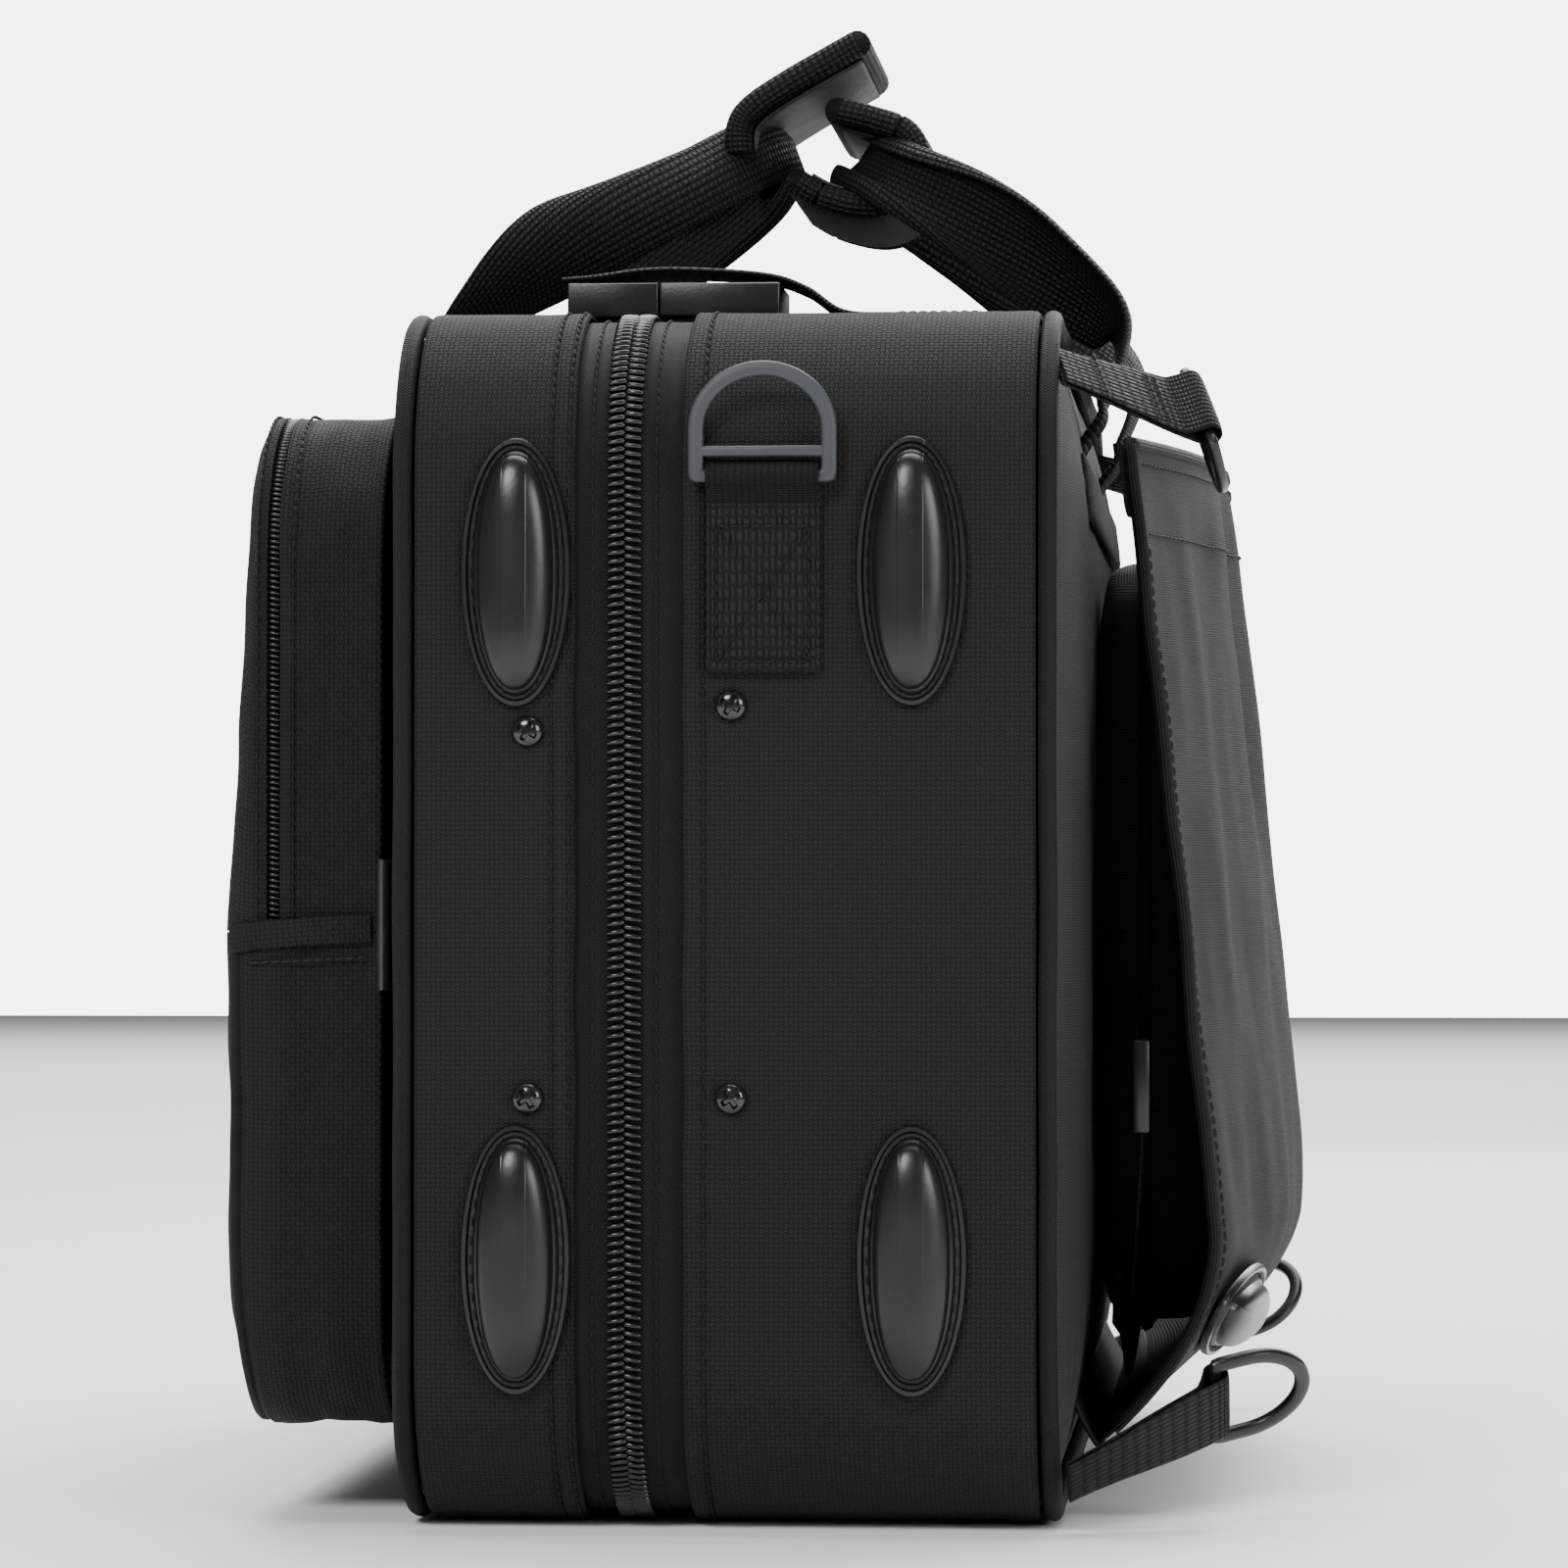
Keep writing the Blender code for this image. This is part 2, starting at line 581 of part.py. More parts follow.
def flap_bumper_place(side):
    """On the flap's outer face, tilted with it, and clear of its curve by the gap."""
    centre = Vector((side * FLAP_BUMPER_X, flap_y(FLAP_BUMPER_X, FLAP_BUMPER_Z), FLAP_BUMPER_Z))
    reach_x, reach_z = BUMPER_LENGTH / 2, BUMPER_WIDTH / 2
    right, left = (flap_y(FLAP_BUMPER_X + reach, FLAP_BUMPER_Z) for reach in (reach_x, -reach_x))
    upper, lower = (flap_y(FLAP_BUMPER_X, FLAP_BUMPER_Z + reach) for reach in (reach_z, -reach_z))
    slope_x, slope_z = right - left, upper - lower
    up = Vector((0, slope_z / BUMPER_WIDTH, 1))
    place = frame(centre, up, Vector((1, side * slope_x / BUMPER_LENGTH, 0)))
    out = place.to_3x3().col[2]
    spots = [(x, z) for x in (-1, 0, 1) for z in (-1, 0, 1)]
    lifts = []
    for i, j in spots:
        x, z = side * FLAP_BUMPER_X + i * reach_x, FLAP_BUMPER_Z + j * reach_z
        lifts.append(out.dot(Vector((x, flap_y(x, z), z)) - centre))
    return Matrix.Translation(out * (max(lifts) + FLAP_THICKNESS / 2 + GAP)) @ place


def stowed_straps():
    """The two padded backpack straps, folded flat behind the flap."""
    seat = REAR_DEPTH - PIPING_RADIUS - GAP + PANEL_RISE + PANEL_DOME + 2 * GAP
    low, high = STOWED_STRAP_BOTTOM, HEIGHT - STOWED_STRAP_TOP_DROP
    for label, side in (("near", 1), ("far", -1)):
        path = outline(STOWED_STRAP_WIDTH / 2, low, high, STOWED_STRAP_RADIUS, 4)
        path = [(x + side * STOWED_STRAP_X, z, nx, nz) for x, z, nx, nz in path]
        edge, depth = STOWED_STRAP_EDGE, STOWED_STRAP_THICKNESS
        steps = [(edge, 0), (0, edge), (0, depth - edge), (edge, depth)]
        loft(f"shoulder_strap_{label}", [loop_at(path, inset, seat + up) for inset, up in steps], "packcloth")


# ---- Front pocket ----


def pocket_solid(name, inset, back, front, edge, slot):
    path = pocket_outline()
    steps = [(0, back), (0, front + edge)]
    for turn in (30, 60, 90):
        steps.append((edge * (1 - cos(radians(turn))), front + edge * (1 - sin(radians(turn)))))
    return loft(name, [loop_at(path, inset + step, y) for step, y in steps], slot)


def pocket_group():
    back = -FRONT_DEPTH - PIPING_RADIUS - 0.0005 - PANEL_DOME - 0.0022
    front = back - POCKET_DEPTH
    zip_y = front + POCKET_ZIP_SETBACK
    body = pocket_solid("pocket_body", 0, back, front, POCKET_EDGE, "ballistic_fabric")
    cover = pocket_solid("pocket_cover", 0, back, front, POCKET_EDGE, "ballistic_fabric")
    wall = POCKET_WALL
    hollow = pocket_solid("pocket_hollow", wall, back - wall, front + wall, POCKET_EDGE - wall, "board")
    reach, beyond, over = POCKET_HALF_LENGTH + CUT_MARGIN, front - CUT_MARGIN, POCKET_TOP + CUT_MARGIN
    coil_side = zip_y + POCKET_COIL_WIDTH
    opening = box("pocket_opening", (-reach, beyond, POCKET_SPLIT_Z), (reach, coil_side + GAP, over), "board")
    kept = box("pocket_kept", (-reach, beyond, POCKET_SPLIT_Z + GAP), (reach, zip_y, over), "board")
    combine(body, hollow, "DIFFERENCE")
    combine(body, opening, "DIFFERENCE")
    combine(cover, hollow, "DIFFERENCE")
    combine(cover, kept, "INTERSECT")
    hinge = Vector((0, front, POCKET_SPLIT_Z))
    cover.data.transform(Matrix.Translation(-hinge))
    cover.location = hinge

    upright = [point for point in pocket_outline() if point[1] > POCKET_SPLIT_Z]
    foot = POCKET_SPLIT_Z + GAP
    path = [(POCKET_HALF_LENGTH, foot, 1, 0), *upright, (-POCKET_HALF_LENGTH, foot, -1, 0)]
    inner = POCKET_WALL
    section = [(0, zip_y + GAP), (inner, zip_y + GAP), (inner, coil_side), (0, coil_side)]
    sweep("pocket_zip", path, section, "zip_coil", closed=False)
    slider("pocket", POCKET_SLIDER_X, zip_y + GAP / 2, POCKET_TOP, 1)


# ---- Zip sliders ----


def slider(label, x, y, top, way):
    """A slider's upper body, which rides on the coil; way is where its pull points."""
    half = SLIDER_HALF_WIDTH
    low, high = GAP, GAP + SLIDER_PLATE
    profile = [(half, low), (half, high), (-half, high), (-half, low)]
    start, stop = -SLIDER_LENGTH / 2, SLIDER_LENGTH / 2
    place = Matrix.Translation((x, y, top))
    loops = [[(at, py, pz) for py, pz in profile] for at in (start, stop)]
    body = loft(f"{label}_slider", loops, "slider_metal", place)

    axle = high + BRIDGE_CLEARANCE
    foot, reach, crown = high - BRIDGE_SINK, BRIDGE_LENGTH / 2, high + 2 * BRIDGE_CLEARANCE
    shoulder = reach * BRIDGE_TAPER
    arch = [(-reach, foot), (reach, foot), (shoulder, crown + BRIDGE_BAR), (-shoulder, crown + BRIDGE_BAR)]
    inside, sill = shoulder - BRIDGE_BAR, high + BRIDGE_SILL
    eye = [(-inside, sill), (inside, sill), (inside, crown), (-inside, crown)]
    upright = place @ Matrix.Rotation(pi / 2, 4, "X")
    bridge_piece = plate(f"{label}_bridge_tool", arch, [eye], BRIDGE_WIDTH, "slider_metal", upright)
    combine(body, bridge_piece, "UNION")

    bar = PULL_THICKNESS / 2
    width = PULL_WIDTH / 2
    tip = PULL_LENGTH - width
    outer = [(-bar, -width), (tip, -width), *arc(tip, 0, width, width, -90, 90, 8)[1:-1]]
    outer += [(tip, width), (-bar, width)]
    slot = BRIDGE_WIDTH / 2 + PULL_CLEARANCE
    eye_end = BRIDGE_LENGTH / 2 + 2 * PULL_CLEARANCE
    pull_eye = [(bar, -slot), (eye_end, -slot), (eye_end, slot), (bar, slot)]
    turn = Matrix.Rotation(0 if way > 0 else pi, 4, "Z")
    pull_place = Matrix.Translation((x, y, top + axle)) @ turn
    plate(f"{label}_pull", outer, [pull_eye], PULL_THICKNESS, "slider_metal", pull_place)


# ---- Handles ----


def handle(name, knots, gather_side, hinge):
    """A webbing handle through its knots on the near side, mirrored to the far side."""
    mirrored = [Vector((-p.x, p.y, p.z)) for p in reversed(knots[:-1])]
    path = smooth_path([*knots, *mirrored], HANDLE_STEPS)
    sides, widths = [], []
    for i in range(HANDLE_STEPS + 1):
        toward = 1 - abs(2 * i / HANDLE_STEPS - 1)
        blend = min(toward / 0.75, 1) ** 1.3
        base = Vector((1 if i <= HANDLE_STEPS / 2 else -1, 0, 0))
        sides.append(base * (1 - blend) + gather_side * blend)
        widths.append(HANDLE_WIDTH + (HANDLE_GATHERED - HANDLE_WIDTH) * blend)
    path = [point - hinge for point in path]
    return ribbon(name, path, widths, sides, HANDLE_THICKNESS, "webbing", Matrix.Translation(hinge))


def handle_pad(name, line, hinge):
    """One leaf of the wrap, from (distance behind the hinge, height over the case) points."""
    path = [(y, HEIGHT + up - hinge.z) for y, up in line]
    strip_in_yz(name, path, PAD_THICKNESS, PAD_HALF_LENGTH, "webbing", Matrix.Translation(hinge))


def handle_group():
    top, half = HEIGHT, HANDLE_WIDTH / 2
    front = -FRONT_DEPTH - PIPING_RADIUS - HANDLE_STANDOFF - HANDLE_THICKNESS / 2
    hinge = Vector((0, front, top - HANDLE_HINGE_DROP))
    knots = [
        Vector((HANDLE_X, front, top - HANDLE_HINGE_DROP)),
        Vector((HANDLE_X, front, top - 0.003)),
        Vector((HANDLE_X - 0.001, front + 0.005, top + half - 0.008)),
        Vector((HANDLE_X - 0.008, front + 0.024, top + half + 0.010)),
        Vector((HANDLE_X - 0.020, front + 0.048, top + 0.047)),
        Vector((HANDLE_X - 0.037, front + 0.075, top + 0.062)),
        Vector((HANDLE_X - 0.056, front + 0.087, top + 0.070)),
        Vector((0.0, front + 0.090, top + 0.072)),
    ]
    handle("front_handle", knots, Vector((0, 0.80, 0.60)), hinge)
    line = [(0.0667, 0.053), (0.0652, 0.062), (0.0662, 0.072), (0.0727, 0.080), (0.0852, 0.087)]
    line.append((0.1077, 0.098))
    handle_pad("front_handle_pad", line, hinge)

    rear = REAR_DEPTH + PIPING_RADIUS + HANDLE_STANDOFF + 0.0045 + HANDLE_THICKNESS / 2
    hinge = Vector((0, rear, top - HANDLE_HINGE_DROP))
    knots = [
        Vector((HANDLE_X, rear, top - HANDLE_HINGE_DROP)),
        Vector((HANDLE_X, rear + 0.006, top - 0.004)),
        Vector((HANDLE_X - 0.001, rear + 0.004, top + half - 0.010)),
        Vector((HANDLE_X - 0.010, rear - 0.014, top + half + 0.006)),
        Vector((HANDLE_X - 0.024, rear - 0.037, top + 0.038)),
        Vector((HANDLE_X - 0.042, rear - 0.059, top + 0.050)),
        Vector((HANDLE_X - 0.060, rear - 0.069, top + 0.056)),
        Vector((0.0, rear - 0.071, top + 0.058)),
    ]
    handle("rear_handle", knots, Vector((0, 0.93, 0.36)), hinge)
    line = [(-0.0942, 0.051), (-0.0822, 0.0445), (-0.0682, 0.0410), (-0.0542, 0.0430), (-0.0467, 0.0530)]
    line += [(-0.0462, 0.0640), (-0.0532, 0.0735), (-0.0622, 0.0760)]
    handle_pad("rear_handle_pad", line, hinge)


# ---- Lock straps ----


def lock_strap(label, side):
    x, top = side * LOCK_X, HEIGHT + GAP
    half, wall = BUCKLE_WIDTH / 2, SOCKET_WALL
    stop = SOCKET_START + SOCKET_LENGTH
    roof = top + BUCKLE_HEIGHT
    low, high = (x - half, SOCKET_START, top), (x + half, stop, roof)
    socket = box(f"buckle_socket_{label}", low, high, "black_plastic")
    mouth = box(
        f"buckle_mouth_{label}",
        (x - half + wall, SOCKET_START - wall, top + wall),
        (x + half - wall, stop - 2 * wall, roof - wall),
        "black_plastic",
    )
    combine(socket, mouth, "DIFFERENCE")

    prong_low, prong_high = top + wall + GAP, roof - wall - GAP
    plug_end = SOCKET_START - GAP
    low, high = (x - half, plug_end - PLUG_LENGTH, top), (x + half, plug_end, roof)
    base = box(f"buckle_plug_{label}", low, high, "black_plastic")
    prong_edge = half - wall - GAP
    prong_inner = prong_edge - PRONG_WIDTH
    for name, low, high in (("left", -prong_edge, -prong_inner), ("right", prong_inner, prong_edge)):
        prong = box(
            f"prong_{name}_{label}_tool",
            (x + low, plug_end - wall, prong_low),
            (x + high, plug_end + PRONG_LENGTH, prong_high),
            "black_plastic",
        )
        combine(base, prong, "UNION")

    lift = WEBBING_THICKNESS / 2 + GAP
    over = roof + lift
    line = [
        (plug_end - PLUG_LENGTH - 0.002, over + 0.0004),
        (plug_end - PLUG_LENGTH + 0.006, over + 0.0010),
        (SOCKET_START, over + 0.0030),
        (stop - 0.006, over + 0.0016),
        (stop + 0.006, over - 0.0020),
        (stop + 0.016, HEIGHT + 2 * lift),
        (stop + 0.030, HEIGHT + lift),
        (LOCK_TAIL_END, HEIGHT + lift),
    ]
    points = smooth_path([Vector((0, y, z)) for y, z in line], 21)
    line = [(p.y, p.z) for p in points]
    strip_in_yz(f"lock_strap_{label}", line, WEBBING_THICKNESS, LOCK_WEBBING / 2, "webbing", x=x)


def main():
    clear_scene()
    rear_walls = half_case("rear", REAR_DEPTH, 1)
    front_walls = half_case("front", FRONT_DEPTH, -1)
    hinge_strip()
    for label, side in (("near", 1), ("far", -1)):
        for half, y in (("front", FRONT_BUMPER_Y), ("rear", REAR_BUMPER_Y)):
            for level, z in (("low", BUMPER_LOW_Z), ("high", HEIGHT - BUMPER_TOP_DROP)):
                bumper(f"{half}_bumper_{label}_{level}", end_place(side, y, z))
        front_high, rear_high = HEIGHT - FRONT_SCREW_TOP_DROP, HEIGHT - REAR_SCREW_TOP_DROP
        screw_bar(f"front_screw_bar_{label}", side, FRONT_SCREW_Y, front_high, front_walls)
        screw_bar(f"rear_screw_bar_{label}", side, REAR_SCREW_Y, rear_high, rear_walls)
        end_ring(label, side)
        corner_ring(f"{label}_top", side, upper=True)
        corner_ring(f"{label}_low", side, upper=False)
        lock_strap(label, side)
        slider(f"main_{label}", side * SLIDER_X, 0, HEIGHT, side)
    flap_group()
    stowed_straps()
    pocket_group()
    handle_group()


if __name__ == "__main__":
    main()
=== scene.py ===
"""The looks of a soft-sided flight case: woven walls, zips, bumpers, rings, straps and wrapped handles.

+X runs along the case, +Y to its back and +Z up, in metres. Every piece is made where it stands.
"""

import json
from math import ceil, cos, hypot, pi, radians, sin

import bmesh
import bpy
from mathutils import Matrix, Vector, noise

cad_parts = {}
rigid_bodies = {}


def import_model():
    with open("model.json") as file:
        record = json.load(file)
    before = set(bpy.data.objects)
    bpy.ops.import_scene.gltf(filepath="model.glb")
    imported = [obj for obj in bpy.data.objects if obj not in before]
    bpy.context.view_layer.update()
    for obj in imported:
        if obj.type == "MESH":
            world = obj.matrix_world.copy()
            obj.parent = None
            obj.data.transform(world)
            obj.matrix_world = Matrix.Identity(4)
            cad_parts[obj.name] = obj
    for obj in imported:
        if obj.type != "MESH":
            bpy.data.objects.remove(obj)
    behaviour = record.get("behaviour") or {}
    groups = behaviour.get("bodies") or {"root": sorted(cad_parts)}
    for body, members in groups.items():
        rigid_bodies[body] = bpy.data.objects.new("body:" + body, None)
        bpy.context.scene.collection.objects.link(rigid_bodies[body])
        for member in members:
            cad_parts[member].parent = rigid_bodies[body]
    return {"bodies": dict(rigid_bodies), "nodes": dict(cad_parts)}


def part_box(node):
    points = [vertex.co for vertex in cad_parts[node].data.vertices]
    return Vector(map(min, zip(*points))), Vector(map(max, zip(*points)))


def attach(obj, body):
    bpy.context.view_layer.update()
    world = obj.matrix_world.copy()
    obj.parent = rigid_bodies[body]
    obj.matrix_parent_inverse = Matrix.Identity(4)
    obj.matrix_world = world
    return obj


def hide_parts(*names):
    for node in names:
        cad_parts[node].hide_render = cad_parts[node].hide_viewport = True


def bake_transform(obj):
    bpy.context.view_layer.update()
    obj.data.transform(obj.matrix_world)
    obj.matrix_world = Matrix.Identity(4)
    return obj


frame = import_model()

bl_info = {
    "name": "Flight Case Builder",
    "version": (1, 0, 0),
    "blender": (4, 5, 0),
    "location": "View3D > Sidebar > Flight Case",
    "description": "Builds a fabric flight case, piece by piece, on its packed frame",
    "category": "Object",
}

CLOTH = "cloth"  # the UV map in metres that the woven finishes read
SIDES = (("near", 1), ("far", -1))
HALVES = (("front", -1, "lid"), ("rear", 1, "rear_case"))
CASE_LOW, CASE_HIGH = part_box("rear_gusset")
HALF_LENGTH = CASE_HIGH.x
CASE_TOP = CASE_HIGH.z
DEPTH = {"front": 0.057, "rear": 0.108}
CORNER_RADIUS = 0.045
PIPING_RADIUS = 0.0027
GAP = 0.0003

# ---- Finishes ----


class Signal:
    """One socket of a finish. Arithmetic on it adds Math nodes."""

    def __init__(self, finish, socket):
        self.finish, self.socket = finish, socket

    def math(self, operation, *others):
        """The result of a Math node of this operation on this value and the others."""
        values = dict(enumerate((self, *others)))
        return self.finish.node("ShaderNodeMath", {"operation": operation}, values)

    def __add__(self, other):
        return self.math("ADD", other)

    def __mul__(self, other):
        return self.math("MULTIPLY", other)

    def __sub__(self, other):
        return self.math("SUBTRACT", other)

    def __rsub__(self, other):
        return self * -1 + other

    __radd__, __rmul__ = __add__, __mul__

    def __truediv__(self, other):
        return self.math("DIVIDE", other)

    def __abs__(self):
        return self.math("ABSOLUTE")

    def wave(self):
        """A half wave, from 0 to 1 and back, over each whole number."""
        return abs((self * pi).math("SINE"))

    def clamp(self):
        return self.math("MAXIMUM", 0.0).math("MINIMUM", 1.0)


class Finish:
    """One material: its nodes are added by node(), and shade() sets the shader."""

    def __init__(self, name):
        self.material = bpy.data.materials.new(f"case_{name}")
        self.material.use_nodes = True
        self.tree = self.material.node_tree
        self.shader = self.tree.nodes["Principled BSDF"]

    def fill(self, socket, value):
        if isinstance(value, Signal):
            self.tree.links.new(value.socket, socket)
        else:
            socket.default_value = value

    def node(self, kind, settings=None, values=None, output=0):
        """Adds a node of this kind, sets its settings first and then its sockets, and gives one output."""
        made = self.tree.nodes.new(kind)
        for key, value in (settings or {}).items():
            setattr(made, key, value)
        for key, value in (values or {}).items():
            self.fill(made.inputs[key], value)
        return Signal(self, made.outputs[output])

    def place(self, mapped=True):
        """The (u, v) of the piece's own cloth map in metres, or its Object coordinates."""
        if mapped:
            where = self.node("ShaderNodeUVMap", {"uv_map": CLOTH})
        else:
            where = self.node("ShaderNodeTexCoord", output="Object")
        return where, self.axes(where)

    def axes(self, where):
        return [self.node("ShaderNodeSeparateXYZ", {}, {0: where}, axis) for axis in range(3)]

    def box_place(self):
        """(u, v) in metres on the face that a point's normal is nearest to, from Object coordinates."""
        where, (x, y, z) = self.place(mapped=False)
        turned = self.node("ShaderNodeTexCoord", output="Normal")
        nx, ny, nz = (abs(part) for part in self.axes(turned))
        sideways = nx.math("GREATER_THAN", ny) * nx.math("GREATER_THAN", nz)
        upwards = nz.math("GREATER_THAN", ny) * nz.math("GREATER_THAN", nx)
        return where, (x + (y - x) * sideways, z + (y - z) * upwards)

    def noise(self, where, scale, detail=2.0, roughness=0.5):
        values = {"Vector": where, "Scale": scale, "Detail": detail, "Roughness": roughness}
        return self.node("ShaderNodeTexNoise", {}, values)

    def stretched(self, where, scale):
        """A coordinate scaled apart along its axes by a Mapping node."""
        return self.node("ShaderNodeMapping", {}, {"Vector": where, "Scale": scale})

    def mix(self, share, one, two):
        """The colour one where share is 0 and two where it is 1."""
        values = {0: share, 6: one, 7: two}
        return self.node("ShaderNodeMix", {"data_type": "RGBA"}, values, 2)

    def bump(self, height, distance, strength=1.0, under=None):
        values = {"Height": height, "Distance": distance, "Strength": strength}
        if under:
            values["Normal"] = under
        return self.node("ShaderNodeBump", {}, values)

    def shade(self, **sockets):
        for name, value in sockets.items():
            self.fill(self.shader.inputs[name.replace("_", " ")], value)
        return self.material


LINT = (0.12, 0.118, 0.115)
DUST = (0.12, 0.118, 0.116, 1.0)
YARN_DRIFT = 0.0004
CLOTH_SPECULAR, PLASTIC_SPECULAR = 0.16, 0.40
PARTING_LINE = 0.00022


def tint(colour, share):
    """A colour darkened or lightened by a share."""
    return (*(min(1.0, part * share) for part in colour), 1.0)


def colours():
    return bpy.context.scene.case_colours


def basket(u, v, pitch, threads=2):
    """The height of a basket weave: patches of side-by-side yarns that pass over and under."""
    p, q = u / pitch, v / pitch
    parity = (p.math("FLOOR") + q.math("FLOOR")).math("MODULO", 2.0)
    parity = abs(parity)
    over = p.wave() * (0.45 + 0.55 * (q * threads).wave())
    under = q.wave() * (0.45 + 0.55 * (p * threads).wave())
    return over + (under - over) * parity


def plain(u, v, rib, thread):
    """The height of a plain weave whose ribs run along u."""
    row = (v / rib).math("FLOOR")
    beads = (u / thread + row * 0.5).wave()
    return (v / rib).wave() * (0.55 + 0.45 * beads)


def chevron(u, v, rib, run):
    """The height of a herringbone: slanting ribs that turn back at each run."""
    slope = abs((v / run).math("FRACT") - 0.5) * run
    return ((u + slope) / rib).wave()


def woven_finish(name, colour, weave, depth, rough=(0.62, 0.86), fuzz=0.10, mapped=True, spread=0.30):
    """A cloth whose yarn tops are smoother than the gaps between them, with a painted highlight on the yarn
    tops and painted shade in the gaps.
    """
    made = Finish(name)
    where, (u, v, *_) = made.place() if mapped else made.box_place()
    drift = made.noise(where, 260.0, 1.0)
    height = weave(u + (drift - 0.5) * YARN_DRIFT, v + (drift - 0.5) * (YARN_DRIFT * 0.75))
    patch = made.noise(where, 9.0, 3.0)
    fibre = made.noise(where, 1900.0, 2.0)
    yarn_tops_painted_light = (height * (1 - spread) + fibre * spread).clamp()
    # Painted light and shade: the yarn tops are painted lighter as a highlight, and the gaps between the
    # yarns are painted dark (deep) as shade.
    deep = tint(colour, 0.25)
    face = made.mix((patch - 0.35).clamp(), tint(colour, 1.0), tint(colour, 1.22))
    lint = (made.noise(where, 420.0, 4.0, 0.75) - 0.64) * 4.0
    base = made.mix(yarn_tops_painted_light, deep, face)
    base = made.mix(lint.clamp() * fuzz, base, tint(LINT, 1.0))
    normal = made.bump(height * 0.85 + fibre * 0.15, depth)
    normal = made.bump(patch, 0.0006, 0.5, normal)
    made.shader.inputs["Specular IOR Level"].default_value = CLOTH_SPECULAR
    smooth, coarse = rough
    return made.shade(Base_Color=base, Roughness=coarse - (coarse - smooth) * yarn_tops_painted_light, Normal=normal)


def moulded_finish(name, colour, grain, depth, rough, scuff, metallic=0.0, coat=0.0, lines=()):
    """A moulded or cast surface with a fine grain, faint scuffs and dust, and thin raised parting lines."""
    made = Finish(name)
    where, _ = made.place(mapped=False)
    fine = made.noise(where, grain, 3.0, 0.6)
    broad = made.noise(where, 38.0, 4.0, 0.6)
    scratch = made.noise(made.stretched(where, (900.0, 60.0, 240.0)), 1.0, 3.0, 0.7)
    worn = ((scratch - 0.62) * 5.0).clamp() * ((broad - 0.42) * 4.0).clamp()
    base = made.mix(fine, tint(colour, 0.85), tint(colour, 1.15))
    base = made.mix(worn * scuff, base, tint(colour, 2.1))
    dust = ((made.noise(where, 700.0, 2.0, 0.7) - 0.66) * 8.0).clamp()
    base = made.mix(dust * 0.12, base, DUST)
    height = fine
    if lines:
        _, (u, _, _) = made.place()
        for line in lines:
            height = height + (1 - abs(abs(u) - line) / PARTING_LINE).clamp() * 2.2
    normal = made.bump(height, depth)
    made.shader.inputs["Metallic"].default_value = metallic
    made.shader.inputs["Specular IOR Level"].default_value = PLASTIC_SPECULAR
    made.shader.inputs["Coat Weight"].default_value = coat
    made.shader.inputs["Coat Roughness"].default_value = 0.15
    roughness = rough + (broad - 0.5) * 0.18 + worn * 0.15
    return made.shade(Base_Color=base, Roughness=roughness.clamp(), Normal=normal)


def pile_finish(name, colour, scale):
    """A dense field of small hooks or fibres, with a painted highlight on their tops and painted shade
    between them.
    """
    made = Finish(name)
    where, _ = made.place(mapped=False)
    cells = made.node("ShaderNodeTexVoronoi", {}, {"Vector": where, "Scale": scale})
    fibre = made.noise(where, scale * 2.0, 4.0, 0.8)
    height = (1 - cells * 1.6).clamp() * 0.6 + fibre * 0.4
    # Painted light and shade: the colour follows the height, lighter on the hook tops as a painted highlight
    # and darker between them as painted shade.
    base = made.mix(height, tint(colour, 0.3), tint(colour, 2.4))
    return made.shade(Base_Color=base, Roughness=0.95, Normal=made.bump(height, 0.0009))


def leather_finish(name, colour, rough):
    """A smooth coated cloth with a fine pebble and soft creases, with painted shade in the creases."""
    made = Finish(name)
    where, _ = made.place(mapped=False)
    values = {"Vector": where, "Scale": 950.0}
    pebble = made.node("ShaderNodeTexVoronoi", {"feature": "SMOOTH_F1"}, values)
    crease = made.noise(where, 60.0, 5.0, 0.6)
    # Painted shade: the colour follows the crease height, darker in the creases and lighter on their ridges.
    base = made.mix(crease, tint(colour, 0.75), tint(colour, 1.25))
    normal = made.bump(pebble, 0.00025, 0.8, made.bump(crease, 0.0012, 0.7))
    return made.shade(Base_Color=base, Roughness=rough + (crease - 0.5) * 0.2, Normal=normal)


def satin_finish(name, colour):
    """A shiny tape of very fine yarn, with a painted highlight on the yarn tops and painted sheen in broad
    patches.
    """
    made = Finish(name)
    where, (u, v, _) = made.place()
    height = plain(u, v, 0.00035, 0.0009)
    sheen_patches = made.noise(where, 90.0, 2.0)
    # Painted highlight and sheen: the colour is lighter on the yarn tops and across broad patches, which
    # stand in for light on the shiny tape.
    base = made.mix(height * 0.5 + sheen_patches * 0.5, tint(colour, 0.7), tint(colour, 1.5))
    made.shader.inputs["Anisotropic"].default_value = 0.5
    normal = made.bump(height, 0.00008)
    return made.shade(Base_Color=base, Roughness=0.34 + (sheen_patches - 0.5) * 0.2, Normal=normal)


def thread_finish(name, colour):
    """Sewing thread."""
    return woven_finish(
        name, colour, lambda u, v: plain(u, v, 0.0003, 0.0004), 0.00008, (0.45, 0.70), 0.0, mapped=False
    )


